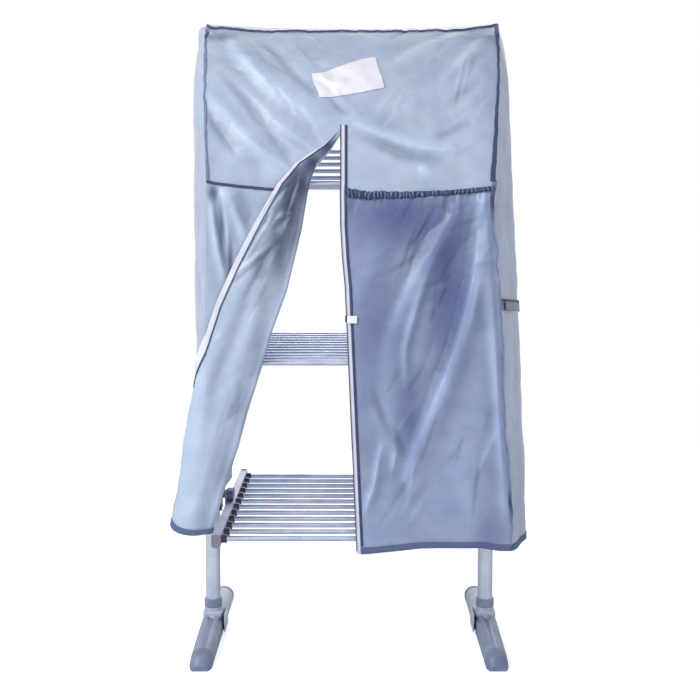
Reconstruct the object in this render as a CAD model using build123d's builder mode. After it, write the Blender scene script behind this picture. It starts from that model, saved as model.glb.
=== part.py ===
from build123d import *
import os
from math import cos, hypot, pi, radians, sin, sqrt

os.makedirs("parts", exist_ok=True)

# A heated clothes airer. Two posts on folding feet carry three tiers of heated bars. Each tier
# is a front wing and a rear wing that fold up, and a zipped fabric cover hangs over the posts.
# Millimetres. The origin is on the floor midway between the posts, with X to the right, Y to
# the back and Z up.

# Clearances: pieces that are fixed together, pieces that turn, and cloth on its seat
fit = 0.1
running = 0.1
seat = 0.3

# Posts, their caps and the bar across the top
post_spacing = 670.0
post_diameter = 36.0
post_wall = 1.5
post_base = 14.0
post_top = 1432.0
cap_wall = 2.0
cap_depth = 44.0
cap_rise = 42.0
top_bar_diameter = 20.0
top_bar_wall = 1.2
top_bar_drop = 22.0
socket_wall = 3.0
socket_length = 27.0

post_x = post_spacing / 2
post_r = post_diameter / 2
top_bar_r = top_bar_diameter / 2
top_bar_z = post_top - top_bar_drop
cap_top = post_top + cap_rise

# Feet: a hub under each post, with a front leg and a rear leg that fold up
hub_width = 48.0
hub_length = 47.0
hub_height = 52.0
hub_corner = 9.0
hub_bevel = 3.0
neck_diameter = 43.0
neck_height = 9.0
collar_diameter = 44.0
collar_height = 21.0
collar_bevel = 1.5
tongue_width = 16.0
tongue_radius = 11.0
leg_pin_diameter = 6.0
leg_pin_z = 30.0
knuckle_radius = 20.0
leg_gap = 0.5
leg_width = 51.0
leg_tip_height = 36.0
leg_crown = 19.0
leg_wall = 3.0
leg_reach = 262.0
sole_lift = 1.5
toe_length = 50.0
toe_taper = 6.0
toe_height = 12.0
toe_width = 36.0

leg_pin_y = hub_length / 2 + leg_gap + knuckle_radius
leg_height = leg_pin_z + knuckle_radius
leg_start = hub_length / 2 + leg_gap
leg_end = leg_reach - toe_length
leg_pin_r = leg_pin_diameter / 2
neck_top = hub_height + neck_height

# Tiers: each wing is two rails with six bars between them
tier_first = 315.0
tier_pitch = 387.0
tier_count = 3
bar_diameter = 12.0
bar_wall = 1.0
bar_pitch = 55.0
bar_count = 6
rail_width = 19.0
rail_height = 24.0
rail_wall = 1.5
rail_overhang = 22.5
clip_length = 12.0
clip_width = 14.0
clip_height = 17.0
clip_corner = 3.0
spigot_length = 8.0
wire_diameter = 4.0
tip_thickness = 5.0
tip_margin = 2.0
tip_bevel = 4.5
plug_length = 15.0
top_rear_raise = 20.5

tiers = [tier_first + number * tier_pitch for number in range(tier_count)]

# Hinges of the wings, between the rails and the posts
hinge_spacing = 24.0
hinge_rise = 25.0
hinge_pin_diameter = 8.0
hinge_pin_hold = 5.5
block_radius = 12.5
block_thickness = 15.0
ear_radius = 10.0
ear_thickness = 4.0
ear_gap = 0.6
arm_plate = 3.0
rail_start = 4.0
bracket_thickness = 10.0
bracket_width = 34.0
bracket_rise = 56.0
bracket_point = 17.0
bracket_post_gap = 5.0
boss_radius = 7.0
boss_length = 8.4
boss_gap = 1.0
screw_diameter = 4.0
screw_head_diameter = 9.0
screw_head_height = 2.4
screw_rise = 46.0
screw_fall = 4.0

hinge_y = hinge_spacing / 2
hinge_pin_r = hinge_pin_diameter / 2
bracket_x = post_x - post_r - bracket_post_gap
ear_start = bracket_x - boss_length - boss_gap - ear_thickness
block_start = ear_start - ear_gap - block_thickness
rail_outer = ear_start - ear_gap
rail_inner = rail_outer - rail_width
rail_middle = rail_outer - rail_width / 2
bar_half = rail_inner - clip_length
bar_places = [bar_pitch / 2 - hinge_y + number * bar_pitch for number in range(bar_count)]
rail_begin = rail_start - hinge_y
rail_end = bar_places[-1] + rail_overhang
wing_reach = rail_end + tip_thickness
wing_swing = hypot(wing_reach, hinge_rise + rail_height / 2 + tip_margin)

# Control box on the rear of the right post, with a rocker switch and a power inlet
box_width = 44.0
box_depth = 34.0
box_height = 100.0
box_base = 430.0
box_corner = 7.0
box_edge = 3.0
box_front = 8.0
rocker_width = 18.0
rocker_height = 30.0
rocker_depth = 9.0
rocker_pivot_depth = 3.0
rocker_tilt = 8.0
rocker_gap = 0.6
inlet_width = 24.0
inlet_depth = 16.0
inlet_length = 12.0
inlet_bore = 7.0
inlet_wall = 3.0

box_rear = box_front + box_depth
rocker_y = box_rear - rocker_pivot_depth
rocker_z = box_base + box_height * 0.62
inlet_y = box_rear - inlet_depth / 2 - box_edge

# Fabric cover: a rounded roof, two side panels and two front panels, open at the back
cloth = 1.2
edge_gap = 0.5
panel_gap = 2.1
front_gap = 15.0
roof_gap = 12.0
seam_drop = 22.0
ridge_depth = 30.0
ridge_drop = 4.0
strip_drop = 20.0
hem_z = 300.0
seam_gap = 10.0
ridge_gap = 17.0
side_gap = 27.0
side_flare = 24.4
side_swell = 16.0
side_fold = 8.0
left_side_gap = 19.0
left_side_draw = 8.0
left_side_sink = 10.0
left_flare = 27.0
hem_flare = 42.0
rear_flare = 16.0
shoulder_drop = 90.0
fold_count = 4
fold_depth = 13.0
fold_base = 2.0

ridge_z = cap_top + seat + cloth
front_y = -(hinge_y + wing_reach + front_gap)
rear_y = -front_y + fold_depth + fold_base
seam_z = tiers[-1] + hinge_rise - seam_drop
seam_half = rail_outer + seam_gap
ridge_half = post_x + ridge_gap
shoulder_half = post_x + post_r + side_gap
hem_half = shoulder_half + side_flare
left_shoulder_half = post_x + post_r + left_side_gap
left_hem_half = left_shoulder_half - left_side_draw

# The slit up the front, the left panel thrown back round the side, and the zip
zip_width = 9.0
zip_lean = 0.044
zip_bend_z = 860.0
slit_rise = 116.0
slit_width = 80.0
slit_offset = 8.0
slit_point = 2.0
flap_gap = 5.0
flap_billow = 3.0
flap_corner = 20.0
flap_fold_run = 216.0
flap_top_width = 54.0
flap_wrap_x = 338.0
flap_wrap_z = 620.0
flap_side_x = 386.0
flap_side_y = -240.0
flap_tip_x = 409.8
flap_tip_y = -145.0
flap_tip_z = 480.0
flap_hem_lift = 45.0
flap_hem_slope = 0.5
slider_z = 801.0
slider_length = 14.0
slider_wall = 2.0
slider_gap = 0.4
tab_length = 17.0
tab_height = 14.0
tab_thickness = 1.2

slit_top = seam_z + slit_rise
flap_y = front_y - flap_gap
flap_hem_z = hem_z + flap_hem_lift
flap_levels = [seam_z + (flap_wrap_z - seam_z) * number / 4 for number in range(5)]
flap_levels += [flap_wrap_z + (flap_hem_z - flap_wrap_z) * number / 3 for number in (1, 2, 3)]


def keep(piece, name):
    """Label a finished piece and write it to its own file."""
    piece.part.label = name
    export_step(piece.part, f"parts/{name}.step")


def block(low, high, mode=Mode.ADD):
    """A box between two opposite corners, in the piece being built."""
    with Locations(tuple((a + b) / 2 for a, b in zip(low, high))):
        Box(*(abs(b - a) for a, b in zip(low, high)), mode=mode)


def rod(side, near, y, z, radius, length, mode=Mode.ADD):
    """A cylinder along X, running outwards from near on one side of the airer."""
    with Locations((side * (near + length / 2), y, z)):
        Cylinder(radius, length, rotation=(0, 90, 0), mode=mode)


def side_plane(side, near, thickness):
    """The plane square to X from which a plate grows over near to near plus its thickness."""
    return Plane.YZ.offset(near if side > 0 else -near - thickness)


def post_tube(side):
    """An aluminium tube, drilled on its inner side for the bracket screws."""
    with BuildPart() as tube:
        with BuildSketch(Plane.XY.offset(post_base)):
            with Locations((side * post_x, 0)):
                Circle(post_r)
                Circle(post_r - post_wall, mode=Mode.SUBTRACT)
        extrude(amount=post_top - post_base)
        for tier in tiers:
            for z in (tier + screw_rise, tier - screw_fall):
                rod(side, post_x - post_r, 0, z, screw_diameter / 2 + fit, post_r, Mode.SUBTRACT)
    return tube


def post_cap(side):
    """A round-nosed cap over a post, with a socket for the bar across the top."""
    base = post_top - cap_depth
    bore = post_r + fit
    rim = bore + cap_wall
    turn = rim * sqrt(0.5)
    reach = post_r + socket_length
    with BuildPart() as cap:
        with BuildSketch(Plane.XZ.move(Location((side * post_x, 0, 0)))):
            with BuildLine():
                Polyline((0, cap_top), (0, base), (rim, base), (rim, cap_top - rim))
                ThreePointArc((rim, cap_top - rim), (turn, cap_top - rim + turn), (0, cap_top))
            make_face()
        revolve(axis=Axis((side * post_x, 0, 0), (0, 0, 1)))
        rod(side, post_x - reach, 0, top_bar_z, top_bar_r + fit + socket_wall, reach)
        with Locations((side * post_x, 0, (base + post_top) / 2)):
            Cylinder(bore, post_top - base, mode=Mode.SUBTRACT)
        rod(side, post_x - reach, 0, top_bar_z, top_bar_r + fit, reach, Mode.SUBTRACT)
    return cap.part


def post_caps():
    """The caps of both posts."""
    with BuildPart() as caps:
        add(post_cap(-1))
        add(post_cap(1))
    return caps


def top_bar():
    """The tube between the posts, butting on them inside the sockets of the caps."""
    half = post_x - post_r - fit
    with BuildPart() as bar:
        with BuildSketch(Plane.YZ.offset(-half)):
            with Locations((0, top_bar_z)):
                Circle(top_bar_r)
                Circle(top_bar_r - top_bar_wall, mode=Mode.SUBTRACT)
        extrude(amount=2 * half)
    return bar


def foot_hub(side):
    """The moulded foot that holds the post and carries the two legs on its tongues."""
    with BuildPart() as hub:
        with BuildSketch():
            with Locations((side * post_x, 0)):
                RectangleRounded(hub_width, hub_length, hub_corner)
        extrude(amount=hub_height)
        chamfer(hub.edges().group_by(Axis.Z)[-1], hub_bevel)
        with BuildSketch(Plane.XY.offset(hub_height)):
            with Locations((side * post_x, 0)):
                Circle(neck_diameter / 2)
        extrude(amount=neck_height)
        with BuildSketch(Plane.YZ.offset(side * post_x - tongue_width / 2)):
            with Locations((0, leg_pin_z)):
                SlotCenterToCenter(2 * leg_pin_y, 2 * tongue_radius)
        extrude(amount=tongue_width)
        with Locations((side * post_x, 0, (post_base + neck_top) / 2)):
            Cylinder(post_r + fit, neck_top - post_base, mode=Mode.SUBTRACT)
        for way in (-1, 1):
            near = post_x - tongue_width / 2
            rod(side, near, way * leg_pin_y, leg_pin_z, leg_pin_r + fit / 2, tongue_width,
                Mode.SUBTRACT)
    return hub


def post_collars():
    """Clamp rings round the posts, just above the feet."""
    with BuildPart() as collars:
        with BuildSketch(Plane.XY.offset(neck_top + fit)):
            with Locations((-post_x, 0), (post_x, 0)):
                Circle(collar_diameter / 2)
                Circle(post_r + fit, mode=Mode.SUBTRACT)
        extrude(amount=collar_height)
        rims = collars.edges().filter_by(GeomType.CIRCLE).sort_by(SortBy.RADIUS)[-4:]
        chamfer(rims, collar_bevel)
    return collars


def leg_pins():
    """Steel pins through the hub's tongues, on which the legs fold."""
    length = leg_width - 2 * leg_wall
    with BuildPart() as pins:
        for side in (-1, 1):
            for way in (-1, 1):
                rod(side, post_x - length / 2, way * leg_pin_y, leg_pin_z, leg_pin_r, length)
    return pins


def leg_section(side, way, y, width, height, crown, sole):
    """Flat sole, upright sides and a crowned top, square to the leg at y from the post."""
    place = Plane(
        origin=(side * post_x, way * y, 0), x_dir=(-way, 0, 0), z_dir=(0, way, 0)
    )
    half = width / 2
    with BuildSketch(place) as section:
        with BuildLine():
            Polyline((-half, height - crown), (-half, sole), (half, sole), (half, height - crown))
            ThreePointArc((half, height - crown), (0, height), (-half, height - crown))
        make_face()
    return section.sketch


def leg_shell(side, way):
    """A hollow moulded leg, forked and rounded where it turns on the hub."""
    hollow_width = leg_width - 2 * leg_wall
    hollow_crown = leg_crown - leg_wall
    hollow_start = leg_pin_y + tongue_radius + 2 * leg_wall
    fall = (leg_height - leg_tip_height) / (leg_end - leg_start)
    hollow_height = leg_height - fall * (hollow_start - leg_start) - leg_wall
    tip_hollow = leg_tip_height - leg_wall
    with BuildPart() as leg:
        loft(
            sections=[
                leg_section(side, way, leg_start, leg_width, leg_height, leg_crown, sole_lift),
                leg_section(side, way, leg_end, leg_width, leg_tip_height, leg_crown, sole_lift),
            ]
        )
        loft(
            sections=[
                leg_section(
                    side, way, hollow_start, hollow_width, hollow_height, hollow_crown, 0
                ),
                leg_section(side, way, leg_end, hollow_width, tip_hollow, hollow_crown, 0),
            ],
            mode=Mode.SUBTRACT,
        )
        with BuildSketch(Plane.YZ.offset(side * post_x - leg_width)):
            with Locations((way * (leg_start + leg_pin_y) / 2, leg_pin_z + leg_height)):
                Rectangle(leg_pin_y - leg_start, 2 * leg_height)
            with Locations((way * leg_pin_y, leg_pin_z)):
                Circle(knuckle_radius, mode=Mode.SUBTRACT)
        extrude(amount=2 * leg_width, mode=Mode.SUBTRACT)
        slot = tongue_width / 2 + leg_gap
        slot_reach = tongue_radius + 2 * leg_gap
        block(
            (side * post_x - slot, way * leg_start, leg_pin_z - slot_reach),
            (side * post_x + slot, way * (leg_pin_y + slot_reach), 2 * leg_height),
            Mode.SUBTRACT,
        )
        rod(side, post_x - leg_width, way * leg_pin_y, leg_pin_z, leg_pin_r + running,
            2 * leg_width, Mode.SUBTRACT)
    return leg


def leg_toe(side, way):
    """The rounded rubber toe, plugged into the open end of the leg."""
    shoulder = leg_end + 0.68 * toe_length
    shoulder_height = leg_tip_height - toe_taper
    plug_half = leg_width / 2 - leg_wall - 2 * leg_gap
    with BuildPart() as toe:
        loft(
            sections=[
                leg_section(side, way, leg_end, leg_width, leg_tip_height, leg_crown, 0),
                leg_section(side, way, shoulder, leg_width - 1.5, shoulder_height, leg_crown, 0),
                leg_section(side, way, leg_reach, toe_width, toe_height, 0.6 * toe_height, 0),
            ],
            ruled=True,
        )
        block(
            (side * post_x - plug_half, way * (leg_end - plug_length), sole_lift + leg_gap),
            (side * post_x + plug_half, way * leg_end, leg_tip_height - leg_crown),
        )
    return toe


def wing_plane(tier, way, raised):
    """The plane of one wing at its pivot: Y runs out along the rails and Z up from them."""
    lift = radians(raised)
    return Plane(
        origin=(0, way * hinge_y, tier + hinge_rise),
        x_dir=(way, 0, 0),
        z_dir=(0, -way * sin(lift), cos(lift)),
    )


def across(plane, x):
    """A plane square to the bars at x, with X out along the rails and Y up."""
    place = plane.from_local_coords(Vector(x, 0, 0))
    return Plane(origin=place, x_dir=plane.y_dir, z_dir=plane.x_dir)


def along(plane, y):
    """A plane square to the rails at y, with X along the bars and Y downwards."""
    place = plane.from_local_coords(Vector(0, y, 0))
    return Plane(origin=place, x_dir=plane.x_dir, z_dir=plane.y_dir)


def wing_rails(plane):
    """Two hollow box rails."""
    with BuildPart() as rails:
        with BuildSketch(along(plane, rail_begin)):
            with Locations((-rail_middle, hinge_rise), (rail_middle, hinge_rise)):
                Rectangle(rail_width, rail_height)
                Rectangle(
                    rail_width - 2 * rail_wall, rail_height - 2 * rail_wall, mode=Mode.SUBTRACT
                )
        extrude(amount=rail_end - rail_begin)
    return rails


def bar_row(plane, start, length, radius, bore=0.0):
    """Round pieces in line with the bars, from start along X, added to the piece being built."""
    with BuildSketch(across(plane, start)) as ends:
        with Locations([(y, -hinge_rise) for y in bar_places]):
            Circle(radius)
            if bore:
                Circle(bore, mode=Mode.SUBTRACT)
    extrude(to_extrude=ends.sketch, amount=length)


def wing_bars(plane):
    """The round tubes that the washing hangs on."""
    with BuildPart() as bars:
        bar_row(plane, -bar_half, 2 * bar_half, bar_diameter / 2, bar_diameter / 2 - bar_wall)
    return bars


def wing_wires(plane):
    """Heating cores inside the bars, from spigot to spigot."""
    half = bar_half - spigot_length
    with BuildPart() as wires:
        bar_row(plane, -half, 2 * half, wire_diameter / 2)
    return wires


def wing_clips(plane):
    """Plastic clips that hold the ends of the bars to the rails, each with a spigot."""
    with BuildPart() as clips:
        for start in (-rail_inner, bar_half):
            with BuildSketch(across(plane, start)):
                with Locations([(y, -hinge_rise) for y in bar_places]):
                    RectangleRounded(clip_width, clip_height, clip_corner)
            extrude(amount=clip_length)
        for start in (-bar_half, bar_half - spigot_length):
            bar_row(plane, start, spigot_length, bar_diameter / 2 - bar_wall - fit)
    return clips


def wing_ends(plane):
    """Plastic ends of the rails: a bevelled tip outside and a hinge ear at the post."""
    plug_x = rail_width / 2 - rail_wall - fit
    plug_z = rail_height / 2 - rail_wall - fit
    low = hinge_rise + rail_height / 2
    high = hinge_rise - rail_height / 2
    back = rail_begin - arm_plate
    with BuildPart(plane) as ends:
        with BuildSketch(along(plane, rail_end)) as tips:
            with Locations((-rail_middle, hinge_rise), (rail_middle, hinge_rise)):
                Rectangle(rail_width + tip_margin / 2, rail_height + 2 * tip_margin)
            chamfer(tips.vertices(), tip_bevel)
        extrude(amount=tip_thickness)
        for side in (-1, 1):
            for start, end in ((rail_end - plug_length, rail_end), (back, back + plug_length)):
                block(
                    (side * rail_middle - plug_x, start, -hinge_rise - plug_z),
                    (side * rail_middle + plug_x, end, -hinge_rise + plug_z),
                )
            block(
                (side * rail_inner, back, -low),
                (side * (ear_start + ear_thickness), rail_begin, -high),
            )
            with BuildSketch(across(plane, ear_start if side > 0 else -ear_start - ear_thickness)):
                Circle(ear_radius)
                with Locations(((back + ear_radius) / 2, -low / 2)):
                    Rectangle(ear_radius - back, low)
                Circle(hinge_pin_r + running, mode=Mode.SUBTRACT)
            extrude(amount=ear_thickness)
    return ends


def hinge_blocks():
    """Dark blocks over the rails, each held by the two hinge pins of its side and tier."""
    with BuildPart() as blocks:
        for side in (-1, 1):
            with BuildSketch(side_plane(side, block_start, block_thickness)):
                for tier in tiers:
                    with Locations((0, tier + hinge_rise)):
                        SlotCenterToCenter(hinge_spacing, 2 * block_radius)
                    with Locations(
                        (-hinge_y, tier + hinge_rise), (hinge_y, tier + hinge_rise)
                    ):
                        Circle(hinge_pin_r + fit / 2, mode=Mode.SUBTRACT)
            extrude(amount=block_thickness)
    return blocks


def hinge_pins():
    """Steel pins that carry the wings, pressed into the blocks and the brackets."""
    length = bracket_x + hinge_pin_hold - block_start
    with BuildPart() as pins:
        for side in (-1, 1):
            for tier in tiers:
                for way in (-1, 1):
                    rod(side, block_start, way * hinge_y, tier + hinge_rise, hinge_pin_r, length)
    return pins


def wing_brackets():
    """Dark plates with a pointed foot, screwed to the posts, with a boss round each pin."""
    half = bracket_width / 2
    depth = bracket_thickness + boss_length
    with BuildPart() as brackets:
        for side in (-1, 1):
            for tier in tiers:
                shoulder = tier + bracket_rise - half / 2
                with BuildSketch(side_plane(side, bracket_x, bracket_thickness)):
                    with BuildLine():
                        Polyline(
                            (-half, shoulder), (-half, tier), (0, tier - bracket_point),
                            (half, tier), (half, shoulder),
                        )
                        ThreePointArc(
                            (half, shoulder), (0, tier + bracket_rise), (-half, shoulder)
                        )
                    make_face()
                extrude(amount=bracket_thickness)
                for way in (-1, 1):
                    place = (way * hinge_y, tier + hinge_rise)
                    rod(side, bracket_x - boss_length, *place, boss_radius, boss_length)
                    rod(side, bracket_x - boss_length, *place, hinge_pin_r + fit / 2, depth,
                        Mode.SUBTRACT)
                for z in (tier + screw_rise, tier - screw_fall):
                    rod(side, bracket_x, 0, z, screw_diameter / 2 + fit, bracket_thickness,
                        Mode.SUBTRACT)
            with Locations((side * post_x, 0, post_top / 2)):
                Cylinder(post_r + fit, post_top, mode=Mode.SUBTRACT)
    return brackets


def bracket_screws():
    """Pan-head screws through the brackets into the posts."""
    shank = bracket_post_gap + 2 * post_wall
    head_r = screw_head_diameter / 2
    with BuildPart() as screws:
        for side in (-1, 1):
            for tier in tiers:
                for z in (tier + screw_rise, tier - screw_fall):
                    rod(side, bracket_x - screw_head_height, 0, z, head_r, screw_head_height)
                    rod(side, bracket_x, 0, z, screw_diameter / 2, shank)
    return screws


def control_box():
    """The housing of the switch and the heating controls, moulded to fit the post."""
    half_x = rocker_width / 2 + rocker_gap
    half_z = rocker_height / 2 + 2 * rocker_gap
    with BuildPart() as box:
        with BuildSketch(Plane.XY.offset(box_base)):
            with Locations((post_x, box_front + box_depth / 2)):
                RectangleRounded(box_width, box_depth, box_corner)
        extrude(amount=box_height)
        fillet(box.faces().sort_by(Axis.Z)[-1].edges(), box_edge)
        with Locations((post_x, 0, box_base + box_height / 2)):
            Cylinder(post_r + fit, box_height, mode=Mode.SUBTRACT)
        block(
            (post_x - half_x, box_rear - rocker_depth, rocker_z - half_z),
            (post_x + half_x, box_rear + rocker_depth, rocker_z + half_z),
            Mode.SUBTRACT,
        )
    return box


def rocker_switch():
    """The rocker, tilted to its off side at rest, with a dished face over its pivot."""
    tilt = radians(rocker_tilt)
    place = Plane(
        origin=(post_x - rocker_width / 2, rocker_y, rocker_z),
        x_dir=(0, cos(tilt), sin(tilt)),
        z_dir=(1, 0, 0),
    )
    half = rocker_height / 2
    face = 1.2 * rocker_pivot_depth
    with BuildPart() as rocker:
        with BuildSketch(place):
            with BuildLine():
                ThreePointArc((face, -half + 0.8), (face / 2, 0), (face, half - 0.8))
                Polyline(
                    (face, half - 0.8), (0, half - 0.4), (-rocker_pivot_depth, 3.0),
                    (-rocker_pivot_depth, -3.0), (0, 0.4 - half), (face, 0.8 - half),
                )
            make_face()
        extrude(amount=rocker_width)
    return rocker


def power_inlet():
    """The recessed inlet under the box, for the supply lead."""
    with BuildPart() as inlet:
        with BuildSketch(Plane.XY.offset(box_base - inlet_length)):
            with Locations((post_x, inlet_y)):
                RectangleRounded(inlet_width, inlet_depth, inlet_depth / 3)
                Circle(inlet_bore / 2, mode=Mode.SUBTRACT)
        extrude(amount=inlet_length - inlet_wall)
        with BuildSketch(Plane.XY.offset(box_base - inlet_wall)):
            with Locations((post_x, inlet_y)):
                RectangleRounded(inlet_width, inlet_depth, inlet_depth / 3)
        extrude(amount=inlet_wall)
    return inlet


def circle_centre(a, b, c):
    """Centre of the circle through three points."""
    d = 2 * (a[0] * (b[1] - c[1]) + b[0] * (c[1] - a[1]) + c[0] * (a[1] - b[1]))
    aa, bb, cc = (p[0] ** 2 + p[1] ** 2 for p in (a, b, c))
    x = (aa * (b[1] - c[1]) + bb * (c[1] - a[1]) + cc * (a[1] - b[1])) / d
    y = (aa * (c[0] - b[0]) + bb * (a[0] - c[0]) + cc * (b[0] - a[0])) / d
    return x, y


# The roof in side view: an arc from the seam in front, clear of the swinging wing, to the ridge
roof_seam = (front_y, seam_z)
roof_mid = (
    -hinge_y - (wing_swing + roof_gap) * sqrt(0.5),
    tiers[-1] + hinge_rise + (wing_swing + roof_gap) * sqrt(0.5),
)
roof_ridge = (-ridge_depth, ridge_z - ridge_drop)
roof_centre = circle_centre(roof_seam, roof_mid, roof_ridge)
roof_radius = hypot(roof_seam[0] - roof_centre[0], roof_seam[1] - roof_centre[1])


def roof_point(point, out):
    """A point of the roof arc moved out from the arc's centre."""
    scale = (roof_radius + out) / roof_radius
    return tuple(c + (p - c) * scale for p, c in zip(point, roof_centre))


def roof_height(y):
    """Height of the cover's top edge at y, the rear half being a stretched copy of the front."""
    if y > 0:
        y = y * front_y / rear_y
    if y > -ridge_depth:
        return roof_ridge[1]
    return roof_centre[1] + sqrt(roof_radius ** 2 - (y - roof_centre[0]) ** 2)


def roof_half(y):
    """Half the width of the roof at y."""
    reach = rear_y if y > 0 else -front_y
    share = 1 - max(abs(y) - ridge_depth, 0) / (reach - ridge_depth)
    return seam_half + (ridge_half - seam_half) * share ** 1.4


def side_x(side, y, z):
    """Outside of a side panel below its shoulder, at y and height z, between its folds."""
    reach, flare = (rear_y, rear_flare) if y > 0 else (-front_y, hem_flare)
    wide, low, swell = shoulder_half, hem_half, side_swell
    if side < 0:
        wide, low, swell = left_shoulder_half, left_hem_half, -left_side_sink
        flare = min(flare, left_flare)
    belly = 1 - min(abs(y) / reach, 1.0) ** 2.2
    shoulder = seam_half + (wide - seam_half) * belly
    hem = seam_half + flare + (low - seam_half - flare) * belly
    shoulder_z = roof_height(y) - shoulder_drop
    share = max((shoulder_z - z) / (shoulder_z - hem_z), 0.0)
    return shoulder + (hem - shoulder) * share + swell * share * (1 - share)


def side_section(side, y, fold):
    """Upright slice of a side panel at y: a long swell, a fold and a shoulder up to the roof."""
    top_x = roof_half(y)
    top_z = roof_height(y)
    shoulder_z = top_z - shoulder_drop
    shoulder_x = side_x(side, y, shoulder_z) + 0.6 * fold
    middle_z = (hem_z + shoulder_z) / 2
    outline = [
        (side_x(side, y, hem_z) + fold, hem_z),
        (side_x(side, y, middle_z) + fold, middle_z),
        (shoulder_x, shoulder_z),
        (0.3 * top_x + 0.7 * shoulder_x + fold_base, top_z - 0.4 * shoulder_drop),
        (top_x, top_z),
    ]
    outside = [(side * x, z) for x, z in outline]
    inside = [(side * (x - cloth), z) for x, z in outline]
    place = Plane(origin=(0, y, 0), x_dir=(1, 0, 0), z_dir=(0, -1, 0))
    with BuildSketch(place) as section:
        with BuildLine():
            ThreePointArc(*outside[:3])
            ThreePointArc(*outside[2:])
            Line(outside[-1], inside[-1])
            ThreePointArc(*inside[2:])
            ThreePointArc(*inside[:3])
            Line(inside[0], outside[0])
        make_face()
    return section.sketch


def cover_side(side):
    """A side panel: a soft swell past the post with four upright folds, along the roof's edge."""
    sections = []
    for number in range(17):
        share = -cos(pi * number / 16)
        y = share * (rear_y if share > 0 else -front_y)
        sections.append(side_section(side, y, side_fold if number in (5, 7, 9, 11) else 0.0))
    with BuildPart() as panel:
        loft(sections=sections)
    return panel


def roof_band(low, high, width):
    """The face of a strip that lies along the roof arc, between two offsets from it."""
    with BuildSketch(Plane.YZ.offset(-width / 2)) as band:
        with BuildLine():
            for out in (low, high):
                ThreePointArc(
                    roof_point(roof_seam, out), roof_point(roof_mid, out),
                    roof_point(roof_ridge, out),
                )
            for end in (roof_seam, roof_ridge):
                Line(roof_point(end, low), roof_point(end, high))
        make_face()
    return band.sketch


def front_face(points):
    """A face in front view, ahead of the cover, to be pushed back through its front."""
    place = Plane(origin=(0, 1.2 * front_y, 0), x_dir=(1, 0, 0), z_dir=(0, -1, 0))
    with BuildSketch(place) as face:
        with BuildLine():
            Polyline(*points, close=True)
        make_face()
    return face.sketch


def zip_x(z):
    """The free edge of the right front panel, with its zip."""
    return -slit_offset + zip_lean * max(zip_bend_z - z, 0)


def cover_roof():
    """The rounded front slope and the narrow strip over the ridge, slit below the middle."""
    width = 2 * ridge_half
    inner_ridge = roof_point(roof_ridge, -cloth)
    back = (1.25 * ridge_depth, ridge_z - strip_drop)
    inner_back = (back[0] - cloth, back[1])
    reach = -front_y - ridge_depth
    right = [
        (roof_half(y) - cloth - panel_gap, y)
        for y in (front_y + reach * number / 8 for number in range(9))
    ]
    left = [(-x, y) for x, y in reversed(right)]
    notch_edge = zip_x(seam_z) + zip_width + edge_gap
    with BuildPart() as roof:
        extrude(to_extrude=roof_band(-cloth, 0, width), amount=width)
        with BuildSketch(Plane.YZ.offset(-ridge_half)):
            with BuildLine():
                ThreePointArc(roof_ridge, (0, ridge_z), back)
                Line(back, inner_back)
                ThreePointArc(inner_back, (0, ridge_z - cloth), inner_ridge)
                Line(inner_ridge, roof_ridge)
            make_face()
        extrude(amount=width)
        with BuildSketch(Plane.XY.offset(seam_z / 2)):
            with BuildLine():
                Polyline(
                    (right[0][0], 1.2 * front_y), *right, (right[-1][0], 2 * ridge_depth),
                    (left[0][0], 2 * ridge_depth), *left, (left[-1][0], 1.2 * front_y),
                    close=True,
                )
            make_face()
        extrude(amount=ridge_z, mode=Mode.INTERSECT)
        notch = front_face(
            [
                (notch_edge, seam_z - zip_width), (notch_edge, slit_top),
                (-slit_offset - slit_point, slit_top),
                (-slit_offset - slit_width, seam_z), (-slit_offset - slit_width, seam_z - zip_width),
            ]
        )
        extrude(to_extrude=notch, amount=front_y / 2, mode=Mode.SUBTRACT)
    return roof


def fold_section(z):
    """Level slice of the right front panel, with folds that fan out from its top corner."""
    share = (z - hem_z) / (seam_z - hem_z)
    start = zip_x(z) + zip_width + edge_gap
    end = side_x(1, front_y, z) - cloth - panel_gap
    depth = fold_base + fold_depth * sin(pi * min(max(share, 0.12), 0.95))
    spread = 0.105 - 0.065 * share
    folds = []
    for number in range(fold_count):
        low = (number + 0.5) / fold_count
        centre = low + (0.52 - 0.58 * low) * share ** 1.3
        folds.append([start + (end - start) * (centre + spread * step) for step in (-1, 0, 1)])
    with BuildSketch(Plane.XY.offset(z)) as section:
        with BuildLine():
            for y in (front_y, front_y + cloth):
                x = start
                for low_x, mid_x, high_x in folds:
                    Line((x, y), (low_x, y))
                    ThreePointArc((low_x, y), (mid_x, y - depth), (high_x, y))
                    x = high_x
                Line((x, y), (end, y))
            for x in (start, end):
                Line((x, front_y), (x, front_y + cloth))
        make_face()
    return section.sketch


def cover_front_right():
    """The right front panel, hanging straight from the seam to the hem."""
    levels = [seam_z + (hem_z - seam_z) * number / 5 for number in range(6)]
    with BuildPart() as panel:
        loft(sections=[fold_section(z) for z in levels])
    return panel


def flap_reaches(z):
    """How far left of the middle the left panel turns back, and where its free edge lies."""
    fall = max((seam_z - z) / (seam_z - flap_hem_z), 0.0)
    fold = slit_offset + slit_width + flap_fold_run * fall ** 1.15
    start = slit_offset + slit_width + flap_top_width
    share = min(max((seam_z - z) / (seam_z - flap_wrap_z), 0.0), 1.0)
    return fold, start + (flap_wrap_x - start) * share ** 0.8


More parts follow.
